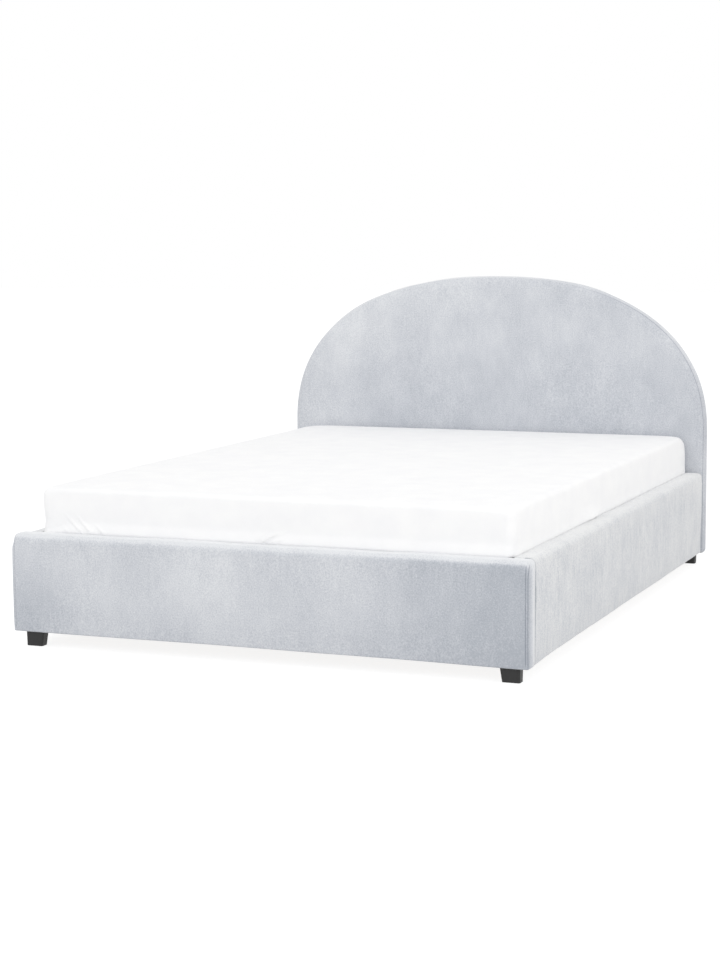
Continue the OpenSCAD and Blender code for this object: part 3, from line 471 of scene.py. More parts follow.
def padded_panel(outline, nx, nz, thick, rim, back_r, crown_of, seams=(), rim_bow=0.0012):
    """Rings and patches of a padded panel, as (u, w, depth, seam). crown_of gives how far the face
    lies behind its highest point. seams lists (distance in from the edge, dip for each column), and
    rim_bow is how far the boxing strip swells outwards at its middle."""
    n = 2 * (nx + nz)
    rim, none, rings = np.broadcast_to(rim, (n,)), np.zeros(n), []

    def lay(inset, depth, mark=0.0, crown=1.0):
        """Adds the ring at an inset, at its depth and with its seam mark. crown is 0 off the face."""
        flat = outline(inset)
        rings.append(np.stack([*flat.T, depth + crown * crown_of(flat) + none, mark + none], 1))

    for step in INSETS:
        depth, mark = rim_depth(step, rim), none
        for place, dip in seams:
            near = bell(step, place, SEAM_HALF)
            depth, mark = depth + dip * near, np.maximum(mark, np.clip(dip / FULL_SEAM, 0, 1) * near)
        lay(step, depth, mark)
    first = np.arcsin(np.clip(1 - step / rim, 0, 1))
    for share in (0.3, 0.6, 1.0):
        t = first + (math.pi / 2 - first) * share
        lay(rim * (1 - np.sin(t)), rim * (1 - np.cos(t)))
    start = rings[-1][:, 2]
    for share in np.linspace(0, 1, 11)[1:]:
        lay(-rim_bow * math.sin(math.pi * share), start + (thick - back_r - start) * share, crown=0)
    for t in np.radians([22, 45, 68, 90]):
        lay(back_r * (1 - math.cos(t)), thick - back_r * (1 - math.sin(t)), crown=0)
    for inset in (0.02, 0.045):
        lay(inset, thick, crown=0)
    rings = np.array(rings)
    front, back = patch_inside(rings[0], nx, nz), patch_inside(rings[-1], nx, nz)
    inner = front[1:-1, 1:-1]
    inner[..., 2] = crown_of(inner[..., :2].reshape(-1, 2)).reshape(inner.shape[:2])
    return [(rings, True), (front, False), (back, False)]


def dress(grids, stand, shape, *more):
    """Stands each grid of a panel in the bed by stand(u, w, depth). shape moves its points and returns
    the nap number, the pile's lie with painted light and shade, which becomes a fifth number. x, y, z
    and the seam number are views, so changing one moves the grid."""
    placed = []
    for grid, wrap in grids:
        u, w, depth, seam = np.moveaxis(grid, -1, 0)
        world = np.stack([*stand(u, w, depth), seam], -1)
        nap = shape(world[..., :3], *np.moveaxis(world, -1, 0), depth, *more)
        placed.append((np.concatenate([world, nap[..., None]], -1), wrap))
    return placed


def uneven(points, seed, big, small):
    """Unevenness of a padded face: waves about 340 mm long plus shorter ones of about 90 mm."""
    return big * waves(points, 0.34, seed) + small * waves(points, 0.09, seed + 1)


# %% [markdown]
# ## Headboard
#
# The face is a tight foam pad that falls away over its last 65 mm. It is sewn to a boxing strip that
# runs over the arch. At the right the edge is a clear line with the seam on the corner itself. At the
# left it is softer, and it bulges a little further out, to meet the photograph's outline.

# %% Headboard upholstery
BOW, LEFT_BULGE = 0.0035, 0.0086
head_half, head_top = head_high[0] - BOW + 0.0006, head_high[2] - BOW - 0.001


def head_crown(flat):
    """How far the face has fallen back: 3 mm at the edge, fading to none 65 mm inside it."""
    a = np.abs(flat[:, 0]) / head_half
    z = flat[:, 1]
    up = np.clip((z - SPRING) / (head_top - SPRING), 0, 1)
    edge = head_half * (1 - (a ** POWER + up ** POWER) ** (1 / POWER))
    edge = np.minimum(edge, z - head_low[2])
    return 0.004 * (1 - ramp(edge, -0.02, 0.065)) ** 2


NX, NZ = 150, 78
head_ring = arch_outline(NX, NZ, head_half, head_top)
edge_x, edge_z = head_ring(0.0).T
tight = 0.15 + 0.85 * ramp(edge_x, 0.20, 0.62)
swell = BOW + 0.0022 * ramp(edge_x, 0.70, 0.75) + ramp(edge_z, 0.60, 0.70) * (
    0.0035 * bell(edge_x, -0.53, 0.09) + 0.0035 * bell(edge_x, 0.34, 0.10)
    - 0.0020 * bell(edge_x, -0.27, 0.07))
grids = padded_panel(head_ring, NX, NZ, head_back - head_face, 0.011 - 0.006 * tight, 0.008, head_crown,
                     [(0.0022, 0.0007 * tight)], swell)


def shape_head(points, x, y, z, seam, depth):
    """Makes the face uneven and its left edge bulge. Painted light and shade make the velvet lighter
    towards the top and the left, darker at the top right, lighter up the boxing strip, and lighter at
    the low right end against the shade beside the mattress."""
    y += (1 - ramp(depth, 0.006, 0.03)) * (0.0007 + uneven(points, 11, 0.0007, 0.0003))
    y[:] = np.minimum(y, head_back - 0.0006)
    # Painted light and shade: lighter upwards and to the left, darker at the top right, lighter up the
    # boxing strip and at the low right end beside the mattress
    nap = (0.8 * (z - 0.70) / 0.3 + 0.4 * ramp(-x, 0.0, 0.4) * ramp(z, 0.55, 0.85)
           + 0.9 * ramp(-x, 0.40, 0.65) - 0.6 * ramp(x, 0.0, 0.2) * ramp(z, 0.78, 0.92)
           + ramp(depth, 0.004, 0.014) * (0.7 * ramp(z, 0.50, 0.65) - 0.1)
           + 1.2 * (ramp(x, 0.66, 0.72) * (1 - ramp(z, 0.40, 0.52))))
    x -= LEFT_BULGE * ramp(-x, 0.35, 0.70)
    return nap


placed = dress(grids, lambda u, w, depth: (u, head_face + depth, w), shape_head)
headboard = make_piece("headboard_upholstery", placed, "frame", ice_velvet)
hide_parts("headboard_pad")

# %% [markdown]
# ## Footboard
#
# Its face swells a little at mid height and rolls over the top. At each end a narrow boxing strip
# closes it, with one seam on the corner and a second row of stitching 8 mm inside it.

# %% Footboard upholstery
def board_crown(flat):
    """A parabola over the height: 0 at mid height and 2 mm at the top and bottom."""
    share = (flat[:, 1] - (z_low + z_top) / 2) / ((z_top - z_low) / 2)
    return 0.002 * share ** 2


def rim_of(z, end, low, top):
    """Rim radius for each column: end at the ends, low below and top over the top edge."""
    upper = ramp(z, z_top - 0.045, z_top - 0.010)
    lower = 1 - ramp(z, z_low + 0.003, z_low + 0.03)
    return end + (top - end) * upper + (low - end) * lower


FX, FZ = 170, 44
foot_ring = rectangle_outline((-half_w, z_low), (half_w, z_top), 0.004, 0.013, FX, FZ)
edge_x, edge_z = foot_ring(0.0).T
ends = (1 - ramp(edge_z, z_top - 0.016, z_top - 0.005)) * ramp(edge_z, z_low + 0.001, z_low + 0.006)
right_end, left_end = (ramp(way * edge_x, half_w - 0.02, half_w - 0.002) for way in (1, -1))
swell = 0.0006 + ends * (0.0040 * right_end + 0.0004 * left_end)
dip = 0.0009 * (ends * (right_end + 0.5 * left_end))
foot_rim = rim_of(edge_z, 0.0030, 0.004, 0.021)
grids = padded_panel(foot_ring, FX, FZ, foot_back - foot_face, foot_rim, 0.002, board_crown,
                     [(0.0080, dip), (0.0016, dip)], swell)


def shape_foot(points, x, y, z, seam, depth):
    """The lower edge sags at the right and is pulled up near the middle. Painted shade darkens the face
    towards the right and the bottom, and the face is also darker towards the left end and its low
    corner. Painted highlight lightens each end strip towards its back, and the rolled top."""
    y += (1 - ramp(depth, 0.012, 0.05)) * (0.0010 + uneven(points, 21, 0.0009, 0.0004))
    z -= ramp(z, z_top - 0.03, z_top - 0.004) * (0.0008 + 0.0008 * waves(points, 0.16, 24))
    low = 1 - ramp(z, z_low + 0.005, z_low + 0.06)
    z += low * (0.0014 * bell(x, -0.15, 0.22) - 0.0035 * ramp(x, 0.35, half_w))
    over = ramp(z, z_top - 0.034, z_top - 0.003)
    face = 1 - ramp(depth, 0.003 - 0.0025 * over, 0.012 - 0.004 * over)
    # Painted shade: the face darker to the right and towards the bottom; it is also darker towards the
    # left end and its low corner, over random unevenness
    across = (0.7 - 2.4 * ramp(x, 0.10, 0.75) - 0.4 * ramp(-x, 0.45, 0.75)
              - 0.4 * (1 - ramp(z, 0.06, 0.20))
              - 0.7 * (1 - ramp(np.hypot(x + 0.72, z - z_low), 0.05, 0.22))
              + 0.25 * waves(points, 0.3, 27))
    # Painted highlight: each end strip lighter towards its back, and the rolled top lighter still
    strip = -0.9 + 3.4 * ramp(depth, 0.006, 0.040)
    return face * across + (1 - face) * (over * 2.2 + (1 - over) * strip)


placed = dress(grids, lambda u, w, depth: (u, foot_face + depth, w), shape_foot)
footboard = make_piece("footboard_upholstery", placed, "frame", ice_velvet)
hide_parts("footboard_cover")

# %% [markdown]
# ## Side rails
#
# The rails are padded on their outer face and over the top. The velvet is pulled over the top edge by
# hand, so the edge wanders a little along its two metres, with a shallow fold below it. The ends are
# rounded more than the footboard's, which leaves the groove between the two.

# %% Rail upholstery
RX, RZ = 200, 44
rail_ring = rectangle_outline((foot_back, z_low), (head_face, z_top), 0.005, 0.012, RX, RZ)
rail_rim = rim_of(rail_ring(0.0)[:, 1], 0.013, 0.004, 0.018)
rail_grids = padded_panel(rail_ring, RX, RZ, half_w - rail_in, rail_rim, 0.002, board_crown,
                          rim_bow=0.0006)


def shape_rail(points, x, y, z, seam, depth, side):
    """Lets the top edge wander. Near the foot the lower edge hangs 4.5 mm and the left rail's top edge
    drops 6 mm. Painted shade darkens the groove at the foot end, and painted light makes the velvet
    lighter towards the head and the top edge."""
    x -= side * (1 - ramp(depth, 0.012, 0.05)) * (0.0006 + uneven(points, 31 + side, 0.0009, 0.0005))
    top = ramp(z, z_top - 0.03, z_top - 0.003)
    z -= top * (0.0008 + 0.0007 * waves(points, 0.16, 34 + side))
    outer = ramp(np.abs(x), half_w - 0.035, half_w - 0.012)
    x -= side * top * outer * 0.0013 * waves(points, 0.10, 37 + side)
    near_foot = 1 - ramp(y, foot_back, foot_back + 0.20)
    low = 1 - ramp(z, z_low + 0.005, z_low + 0.08)
    z -= near_foot * (low * 0.0045 + top * outer * (0.0 if side > 0 else 0.006))
    # Painted shade in the groove at the foot end, put into the seam number
    groove = 1 - ramp(y, foot_back + 0.003, foot_back + 0.017)
    seam[:] = np.maximum(seam, 0.95 * groove * (depth < 0.03))
    # Painted light: the velvet is lighter towards the head and up to the top edge, over random unevenness
    return (0.15 + 0.3 * waves(points, 0.4, 41 + side) + 0.4 * ramp(y, 0.2, 0.9)
            + 0.5 * ramp(z, z_top - 0.08, z_top - 0.02) + 1.0 * ramp(z, z_top - 0.014, z_top - 0.002))


for side, name in ((1, "right"), (-1, "left")):
    placed = dress(rail_grids, lambda u, w, depth: (side * (half_w - depth), u, w), shape_rail, side)
    rail = make_piece(name + "_rail_upholstery", placed, "frame", rail_velvet_painted_lighter)
    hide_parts(name + "_rail_cover")

# %% [markdown]
# ## Mattress
#
# A foam mattress is a slightly crowned block. It fills the bed between the rails and swells a little
# above them. Its edges are rounded, more at the corners than along the sides.

# %% Mattress
MX, MZ = 190, 120
SQUEEZE, CORNER, CROWN, BORDER = 0.0030, 0.022, 0.0022, 0.10
LIP_TOP, LIP_LOW = z_top - 0.0010, z_top - 0.0022  # between these the side steps out over the rails
UNDER_LIP = [LIP_TOP, LIP_LOW, z_top - 0.007, z_top - 0.014, 0.300]
bed_mid_y = (bed_low[1] + bed_high[1]) / 2
half_l = bed_high[1] - bed_mid_y
bed_ring = rectangle_outline(bed_low[:2] - SQUEEZE, bed_high[:2] + SQUEEZE, CORNER, CORNER, MX, MZ, arc=8,
                             closer_x=[(0.03, 0.18), (0.45, 0.56)], closer_z=[(0.30, 0.43), (0.65, 0.69)])


def edge_radius():
    """The top edge's radius for each column: 13 mm along the sides, growing to 23 mm in the corners at
    the foot and 36 mm in those at the head."""
    x, y = bed_ring(0.0).T
    inside = np.maximum(bed_high[0] - np.abs(x), half_l - np.abs(y - bed_mid_y))
    return 0.013 + (1 - ramp(inside, 0.005, 0.08)) * np.where(y > bed_mid_y, 0.023, 0.010)


def round_front_corners(ring, radius):
    """Rounds the two front corners of a ring to a radius larger than its own: a point past the centre
    of the new arc, both ways, is drawn in to that arc."""
    x, y = ring[:, 0], ring[:, 1] - bed_mid_y
    centre_x, centre_y = np.abs(x).max() - radius, np.abs(y).max() - radius
    dx, dy = np.abs(x) - centre_x, -y - centre_y
    inside = (dx > 0) & (dy > 0)
    scale = np.where(inside, np.minimum(1, radius / np.maximum(np.hypot(dx, dy), 1e-6)), 1.0)
    ring[:, 0] = np.where(inside, np.sign(x) * (centre_x + dx * scale), x)
    ring[:, 1] = np.where(inside, bed_mid_y - (centre_y + dy * scale), ring[:, 1])
    return ring


def mattress_rings(grow, heights, bulge=0.0024):
    """Rings from the top's border over the edge, down the side through the heights given and under.
    grow moves them outwards, so the sheet can use the same ones. Above the rails the side swells by
    bulge sin(pi s)^0.8, and all but its left side hangs 2 mm over their inner edge and lies on it.
    Below that edge it spreads until it all but touches them."""
    top, low, low_r, r = bed_high[2] - 0.004, bed_low[2], 0.012, edge_radius()
    border = (BORDER, 0.0018), (0.07, 0.0011), (0.045, 0.0004)
    rows = [(inset, top + lift + grow) for inset, lift in border]
    for t in np.radians(np.linspace(90, 0, 8)):
        rows.append((r - (r + grow) * math.cos(t), top - r + (r + grow) * math.sin(t)))
    for z in heights:
        z = np.minimum(z, top - r - 0.001)
        above = np.clip((z - z_top + 0.001) / (top - r - z_top), 0, 1)
        rows.append((-grow - bulge * np.sin(math.pi * above) ** 0.8, z))
    for t in np.radians(np.linspace(0, 90, 4)):
        rows.append((low_r - (low_r + grow) * math.cos(t), low + low_r - (low_r + grow) * math.sin(t)))
    rings = []
    for inset, z in rows:
        ring = bed_ring(inset)
        x, y, z = *ring.T, np.broadcast_to(z, len(ring))
        hang = ramp(x, -0.69, -0.60)
        spread = 1 - ramp(z, z_top - 0.001 + 0.006 * hang, z_top + 0.008 + 0.028 * hang)
        spread *= ramp(z, low + 0.002, low + low_r)
        over = grow - 0.0018 + 0.0033 * hang * ramp(z, LIP_LOW, LIP_TOP)
        side, front = np.abs(x).max(), y.min()
        at_side, at_front = ramp(np.abs(x), side - 0.02, side), 1 - ramp(y, front, front + 0.02)
        x += np.sign(x) * spread * at_side * (rail_in + over - side)
        y += spread * at_front * (foot_back - over - front)
        if z.max() < top - 0.016 + grow:
            deeper = np.where(x < 0, 0.018, -0.005) * (1 - ramp(z.mean(), z_top + 0.01, top - 0.02))
            fill = 1 - ramp(z.mean(), LIP_LOW, LIP_TOP)
            ring = round_front_corners(ring, 0.027 + deeper + fill * (-0.005 - deeper))
        rings.append(np.concatenate([ring, z[:, None]], 1))
    return np.array(rings)


def crowned_top(rings):
    """The top patch inside the first ring, lifted towards its middle by (1 - a^2)(1 - b^2) of the crown
    and of soft waves, so that it meets the border without a step."""
    patch = patch_inside(rings[0], MX, MZ)
    a, b = patch[..., 0] / (bed_high[0] - BORDER), (patch[..., 1] - bed_mid_y) / (half_l - BORDER)
    inside = np.clip(1 - a ** 2, 0, 1) * np.clip(1 - b ** 2, 0, 1)
    patch[..., 2] = rings[0][0, 2] + inside * (CROWN + 0.0003 * waves(patch, 0.35, 44))
    return patch


rings = mattress_rings(0.0, [0.420, 0.405, 0.390, 0.375, 0.360, 0.350, 0.340, 0.332] + UNDER_LIP)
low_patch = patch_inside(rings[-1], MX, MZ)
mattress = make_piece("mattress_core", [(rings, True), (crowned_top(rings), False), (low_patch, False)],
                      "platform", knit_cover)
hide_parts("mattress")

# %% [markdown]
# ## Fitted sheet
#
# The sheet is one skin of cotton drawn over the mattress, with its elastic hem turned under. It is
# tight on top. On the sides the cloth is a little long, so it falls in slanting creases that fan out
# from where it is caught. Each crease is a narrow ridge along a curved line, added to the surface.

# %% Creases
def crease(u, v, start, end, bow, width, height):
    """A ridge along a bowed line, growing from start to end: height times a bell of the distance from
    the line, which is steep on one side. u runs along the mattress's side and v is the height."""
    start, end = np.array(start), np.array(end)
    way = end - start
    length = np.linalg.norm(way)
    way /= length
    along = ((u - start[0]) * way[0] + (v - start[1]) * way[1]) / length
    off = (v - start[1]) * way[0] - (u - start[0]) * way[1] - bow * 4 * along * (1 - along)
    fade = ramp(along, 0.0, 0.6) * (1 - ramp(along, 0.97, 1.08))
    return height * fade * bell(off, 0, np.where(off > 0, width, width * 0.35))


# Each row is start, end, bow, width and height
foot_creases = [
    # The fan at the left corner, running down to the right
    ((-0.640, 0.392), (-0.553, 0.320), -0.005, 0.0040, 0.0033),
    ((-0.600, 0.388), (-0.521, 0.320), -0.006, 0.0045, 0.0038),
    ((-0.540, 0.362), (-0.479, 0.320), -0.004, 0.0040, 0.0036),
    ((-0.645, 0.350), (-0.595, 0.320), -0.002, 0.0036, 0.0020),
    # The fan in the middle, running down to the left
    ((0.025, 0.368), (-0.034, 0.324), -0.004, 0.0040, 0.0020),
    ((0.066, 0.364), (-0.024, 0.320), -0.005, 0.0040, 0.0056),
    ((0.070, 0.344), (-0.006, 0.320), -0.003, 0.0036, 0.0034),
]
side_creases = [
    # A small fan along the right side, running down to the front
    ((-0.290, 0.345), (-0.350, 0.320), 0.002, 0.0080, 0.0024),
    ((-0.225, 0.350), (-0.300, 0.320), 0.003, 0.0080, 0.0024),
    ((-0.165, 0.352), (-0.250, 0.320), 0.003, 0.0080, 0.0026),
    ((0.370, 0.356), (0.310, 0.320), 0.003, 0.0080, 0.0014),
]
print("creases:", len(foot_creases), "at the foot and", len(side_creases), "on each side")

# %% Sheet
SHEET_T, NEAR = 0.0009, 0.03  # the sheet's stand-off, and how near a side a point counts as on it
heights = np.concatenate([[0.418, 0.408], np.linspace(0.400, z_top + 0.006, 20), UNDER_LIP])
rings = mattress_rings(SHEET_T, heights)
under = np.full((2 * (MX + MZ), 1), bed_low[2] - SHEET_T)
hem = [np.concatenate([bed_ring(inset), under], 1) for inset in (0.02, 0.04)]
rings = np.concatenate([rings, np.array(hem)])
x, y, z = np.moveaxis(rings, -1, 0)
shown = ramp(z, z_top - 0.002, z_top + 0.004) * (1 - ramp(z, bed_high[2] - 0.04, bed_high[2] - 0.012))
on_foot = (y < bed_low[1] + NEAR) & (np.abs(x) < bed_high[0] - NEAR)
on_side = (np.abs(x) > bed_high[0] - NEAR) & (np.abs(y - bed_mid_y) < half_l - 0.04)
soft = waves(rings, 0.22, 51)
swag = 0.009 * bell(y, -0.26, 0.10) * (1 - ramp(z, z_top + 0.004, z_top + 0.05))
y -= on_foot * shown * (sum(crease(x, z, *row) for row in foot_creases) + 0.0004 * soft)
x += np.sign(x) * on_side * shown * (
    sum(crease(y, z, *row) for row in side_creases) + 0.0002 * soft + swag * (x > 0))
sheet = make_piece("fitted_sheet_cotton", [(rings, True), (crowned_top(rings), False)], "platform",
                   white_cotton)
wall = sheet.modifiers.new("cloth thickness", "SOLIDIFY")
wall.thickness, wall.offset = 0.0007, 1.0
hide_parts("fitted_sheet")

# %% [markdown]
# ## Back cloth
#
# A thin black non-woven cloth closes the back of the headboard, 12 mm inside its outline.

# %% Back cloth
CX, CZ = 120, 60
lining_ring = arch_outline(CX, CZ, head_high[0], head_high[2])
cloth_y = span("headboard_back_cloth")[1][1] - 0.0003
lining_rings = np.array([np.insert(lining_ring(inset), 1, cloth_y, axis=1) for inset in (0.012, 0.030)])
lining_patch = patch_inside(lining_rings[-1], CX, CZ)
lining_patch[1:-1, 1:-1, 1] += 0.0002 * waves(lining_patch[1:-1, 1:-1], 0.2, 61)
back_cloth = make_piece("headboard_lining", [(lining_rings, True), (lining_patch, False)], "frame",
                        lining, outwards=False)
wall = back_cloth.modifiers.new("cloth thickness", "SOLIDIFY")
wall.thickness, wall.offset = 0.0004, 0.0
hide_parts("headboard_back_cloth")

# %% [markdown]
# ## Finishes for the rigid parts
#
# The CAD pieces keep their shape and get a real finish each: sawn board, birch slats, powder-coated
# steel, zinc-plated fixings, a polished strut rod, moulded plastic and rubber. A pattern's scale is
# worked out from its real size: the noise starts three times coarser, and its finer layers reach it.
# Wood is matt, with open grain in the sawn pine and closer, glossier grain in the birch.

# %% Wood
def finish(material, names):
    """Gives a material to the CAD pieces named. A star stands for left and right."""
    pieces = {*names.replace("*", "left").split(), *names.replace("*", "right").split()}
    for piece in sorted(pieces):
        nodes[piece].data.materials.clear()
        nodes[piece].data.materials.append(material)
    print(material.name, "on", len(pieces), "pieces")


def wood(name, dark, light, along, line_mm, roughness):
    """Wood grain: two noises, stretched along the board's axis, are added. line_mm is the real spacing
    of the grain lines, and the other noise varies the tone more broadly."""
    def grain(tree, where):
        stretch = tuple(0.06 if axis == along else 1.0 for axis in "XYZ")
        where = add(tree, "ShaderNodeMapping", {"Vector": where, "Scale": stretch}), "Vector"
        warp = add(tree, "ShaderNodeTexNoise", {"Vector": where, "Scale": 16.0, "Detail": 4.0})
        lines = add(tree, "ShaderNodeTexNoise", {
            "Vector": where, "Scale": 1000.0 / line_mm / 3, "Detail": 3.0, "Distortion": 0.8})
        share = add(tree, "ShaderNodeMath", {0: (lines, "Fac"), 1: 0.55}, operation="MULTIPLY")
        total = add(tree, "ShaderNodeMath", {0: (warp, "Fac"), 1: 0.45, 2: (share, "Value")},
                    operation="MULTIPLY_ADD")
        return (lines, "Fac"), (total, "Value")

    return patterned(name, grain, [(0.38, dark), (0.62, light)], (0.12, 0.0006), {"Roughness": roughness})


finish(wood("sawn_pine_board", "#B9925E", "#D8B98A", "Y", 7.0, 0.7),
       "floor_ledges floor_middle_rail *_rail_board")
finish(wood("sawn_pine_batten", "#B08A58", "#D2B284", "X", 7.0, 0.7),
       "headboard_board footboard_board floor_battens floor_panels")
finish(wood("birch_laminate_slat", "#D9BE90", "#EBD6B0", "X", 4.0, 0.45), "*_slats")


# %% Metals and plastics
def coated(name, dark, light, roughness, grain_mm, bump_deep, metal=0.0):
    """A fine-grained skin. Noise at the size of the real grain varies the roughness and gives a faint
    bump, and a broad one, 45 mm across, varies the colour slightly."""
    skin = {"Metallic": metal}

    def fine(tree, where):
        grain = add(tree, "ShaderNodeTexNoise", {
            "Vector": where, "Scale": 1000.0 / grain_mm / 3, "Detail": 3.0, "Roughness": 0.6})
        wear = add(tree, "ShaderNodeTexNoise", {"Vector": where, "Scale": 22.0, "Detail": 3.0})
        rough = add(tree, "ShaderNodeMapRange", {
            "Value": (grain, "Fac"), "To Min": roughness - 0.05, "To Max": roughness + 0.05})
        skin["Roughness"] = (rough, "Result")
        return (grain, "Fac"), (wear, "Fac")

    return patterned(name, fine, [(0.0, dark), (1.0, light)], (0.15, bump_deep), skin)


# Powder coat is satin, with a trace of orange peel
finish(coated("black_powder_coat", "#1D1D1E", "#272728", 0.45, 1.2, 0.0003),
       "*_side_tube head_tube foot_tube middle_tube cross_tubes *_platform_ledge foot_platform_ledge")
finish(coated("grey_powder_coat", "#3A3B3D", "#48494B", 0.42, 1.2, 0.0003),
       "*_base_plate *_front_arm *_rear_arm *_hinge_plate")
# Zinc plate is a pale metal with a soft shine, and a polished chrome rod is a mirror
finish(coated("zinc_plated_steel", "#B9BDC2", "#CDD0D4", 0.32, 2.5, 0.0001, metal=1.0),
       "corner_brackets corner_bolts foot_studs middle_rail_angles base_plate_bolts base_pivot_pins "
       "strut_low_pins strut_top_pins hinge_plate_bolts platform_pivot_pins")
finish(coated("polished_chrome_rod", "#D5D7DA", "#DEE0E2", 0.09, 3.0, 0.00005, metal=1.0), "*_strut_rod")
# Enamel is smooth and glossy
finish(coated("black_gloss_enamel", "#141415", "#1B1B1C", 0.22, 3.0, 0.0001), "*_strut_cylinder")
# Moulded plastic shows the mould's fine grain, and rubber hardly shines at all
finish(coated("moulded_abs_black", "#1A1A1A", "#222222", 0.5, 0.9, 0.0003), "corner_feet middle_feet")
finish(coated("moulded_nylon_black", "#202022", "#2A2A2C", 0.55, 1.0, 0.0003),
       "slat_end_holders slat_middle_holders")
finish(coated("black_rubber", "#161616", "#202020", 0.8, 0.8, 0.0003), "ledge_pads")

# %% [markdown]
# ## Pull strap
#
# Doubled polyester webbing, folded over at the top and held by the foot tube.

# %% Pull strap
STRAP_COLS = 13
strap_low, strap_high = span("pull_strap")
mid_y, fold_z, end_z = strap_high[1] - 0.0015, strap_high[2] - 0.0026, strap_low[2] + 0.001
loop = [(mid_y + 0.0013, z) for z in np.linspace(end_z, fold_z, 20)]
for t in np.radians(np.linspace(0, 180, 13)[1:-1]):
    loop.append((mid_y - 0.0004 + 0.0020 * math.cos(t), fold_z + 0.0020 * math.sin(t)))
loop = np.array(loop + [(mid_y - 0.0013, z) for z in np.linspace(fold_z, end_z, 20)])
across = np.linspace(strap_low[0], strap_high[0], STRAP_COLS)
strap_grid = np.insert(np.repeat(loop[:, None], STRAP_COLS, axis=1), 0, across, axis=2)
strap = make_piece("pull_strap_webbing", [(strap_grid, False)], "platform", webbing, outwards=False)
wall = strap.modifiers.new("webbing thickness", "SOLIDIFY")
wall.thickness, wall.offset = 0.0012, 0.0
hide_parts("pull_strap")

# %% [markdown]
# ## Camera
#
# The camera was solved from the photograph's straight edges, so the render can be laid over it. The
# small sideways shift puts the lens's axis where the photograph has it.

# %% Camera
FOCAL_PX, WIDE_PX, HIGH_PX, AXIS_PX = 2084.3, 720, 960, (356.82, 479.85)
YAW, PITCH, ROLL = 0.3799, 0.121, -0.0064  # radians
camera_data = bpy.data.cameras.new("photo_camera")
camera_data.sensor_width = 36.0
camera_data.lens = FOCAL_PX / HIGH_PX * 36.0
camera_data.shift_x = (WIDE_PX / 2 - AXIS_PX[0]) / HIGH_PX
camera_data.shift_y = (AXIS_PX[1] - HIGH_PX / 2) / HIGH_PX
camera_data.clip_start, camera_data.clip_end = 0.1, 200.0
camera = bpy.data.objects.new("photo_camera", camera_data)
scene.collection.objects.link(camera)
ahead = np.array([-math.sin(YAW) * math.cos(PITCH), math.cos(YAW) * math.cos(PITCH), -math.sin(PITCH)])
level = np.array([math.cos(YAW), math.sin(YAW), 0.0])
upward = np.cross(level, ahead)
right = math.cos(ROLL) * level + math.sin(ROLL) * upward
above = -math.sin(ROLL) * level + math.cos(ROLL) * upward
turn = Matrix(np.stack([right, above, -ahead], 1).tolist())
camera.matrix_world = Matrix.Translation((2.3264, -6.1546, 1.1879)) @ turn.to_4x4()
scene.camera = camera
print("lens", round(camera_data.lens, 2), "mm")

# %% [markdown]
# ## Studio
#
# The photograph is lit from all round by big soft boxes against white. An even white surround does
# most of it. A large soft lamp in front and to the left, a slightly warm one at the right and a weak
# one overhead give the faces their small differences.

# %% Floor, surround and lamps
def seen(tree):
    """1 where the camera looks, straight, in a gloss or through glass, and 0 for bounced light."""
    path = add(tree, "ShaderNodeLightPath")
    so_far = (path, "Is Camera Ray")
    for ray in ("Is Glossy Ray", "Is Transmission Ray"):
        either = add(tree, "ShaderNodeMath", {0: so_far, 1: (path, ray)}, operation="MAXIMUM")
        so_far = (either, "Value")
    return so_far


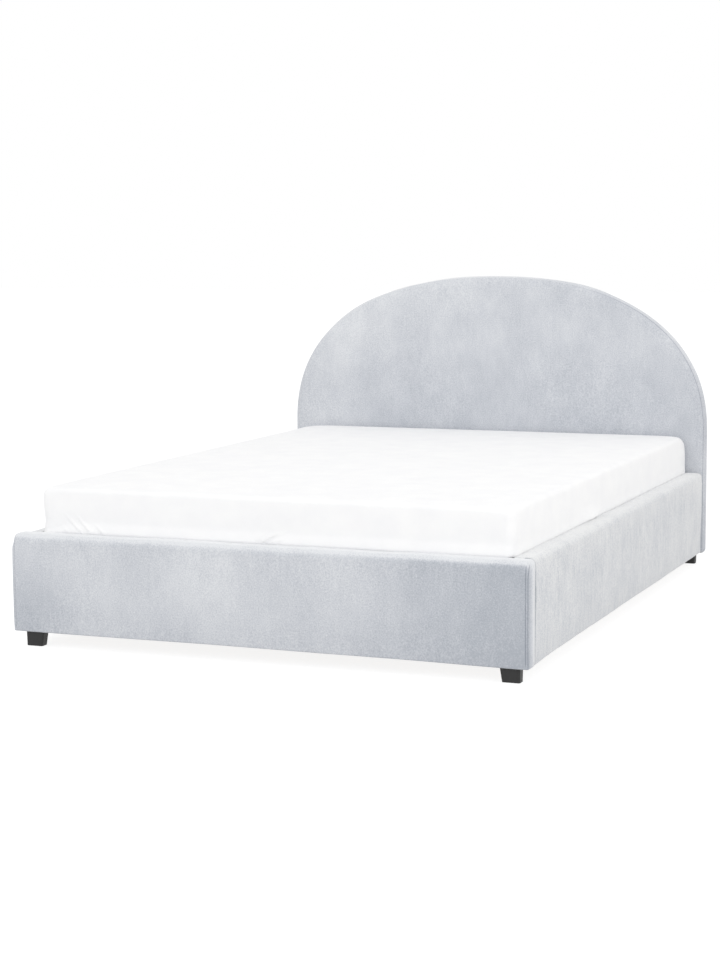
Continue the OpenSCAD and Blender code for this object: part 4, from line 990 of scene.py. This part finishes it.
def studio_floor(name):
    """White paper: what bounces off it is a plain pale grey, and the camera sees it as white with the
    bed's own shadow kept."""
    material, tree, out = new_material(name)
    paper = add(tree, "ShaderNodeBsdfDiffuse", {"Color": colour("#E8E8E8")})
    thin = add(tree, "ShaderNodeBsdfDiffuse", {"Color": (0.25, 0.25, 0.25, 1.0)})
    glow = add(tree, "ShaderNodeEmission", {"Color": (1, 1, 1, 1), "Strength": 0.875})
    bright = add(tree, "ShaderNodeAddShader", {0: (thin, "BSDF"), 1: (glow, "Emission")})
    mix = add(tree, "ShaderNodeMixShader", {
        0: seen(tree), 1: (paper, "BSDF"), 2: (bright, "Shader")})
    tree.links.new(mix.outputs["Shader"], out.inputs["Surface"])
    return material


FAR = 30
floor_mesh = bpy.data.meshes.new("studio_floor")
corners = [(-FAR, -FAR, 0), (FAR, -FAR, 0), (FAR, FAR, 0), (-FAR, FAR, 0)]
floor_mesh.from_pydata(corners, [], [(0, 1, 2, 3)])
floor = bpy.data.objects.new("studio_floor", floor_mesh)
floor_mesh.materials.append(studio_floor("studio_paper_floor"))
scene.collection.objects.link(floor)

world = bpy.data.worlds.new("studio_surround")
scene.world = world
world.use_nodes = True
tree = world.node_tree
tree.nodes.clear()
dim = add(tree, "ShaderNodeBackground", {"Color": (1, 1, 1, 1), "Strength": 0.90})
white = add(tree, "ShaderNodeBackground", {"Color": (1, 1, 1, 1), "Strength": 1.0})
mix = add(tree, "ShaderNodeMixShader", {
    0: seen(tree), 1: (dim, "Background"), 2: (white, "Background")})
tree.links.new(mix.outputs["Shader"], add(tree, "ShaderNodeOutputWorld").inputs["Surface"])


def soft_lamp(name, place, target, size, watts, tint):
    """A square area lamp that looks at a target point."""
    data = bpy.data.lights.new(name, "AREA")
    data.shape, data.size, data.energy, data.color = "SQUARE", size, watts, tint
    lamp = bpy.data.objects.new(name, data)
    lamp.location = place
    lamp.rotation_mode = "QUATERNION"
    lamp.rotation_quaternion = (Vector(target) - Vector(place)).to_track_quat("-Z", "Y")
    scene.collection.objects.link(lamp)


soft_lamp("front_left_box", (-1.5, -6.5, 3.0), (0.0, -0.8, 0.3), 4.0, 46.0, (1.0, 1.0, 1.0))
soft_lamp("overhead_box", (0.3, -0.3, 4.5), (0.0, 0.0, 0.3), 4.0, 12.0, (1.0, 1.0, 1.0))
soft_lamp("right_box", (5.0, -2.3, 2.2), (0.7, 0.0, 0.3), 3.0, 36.0, (1.0, 0.985, 0.965))
scene.view_settings.view_transform = "Standard"
print("surround and three lamps placed")
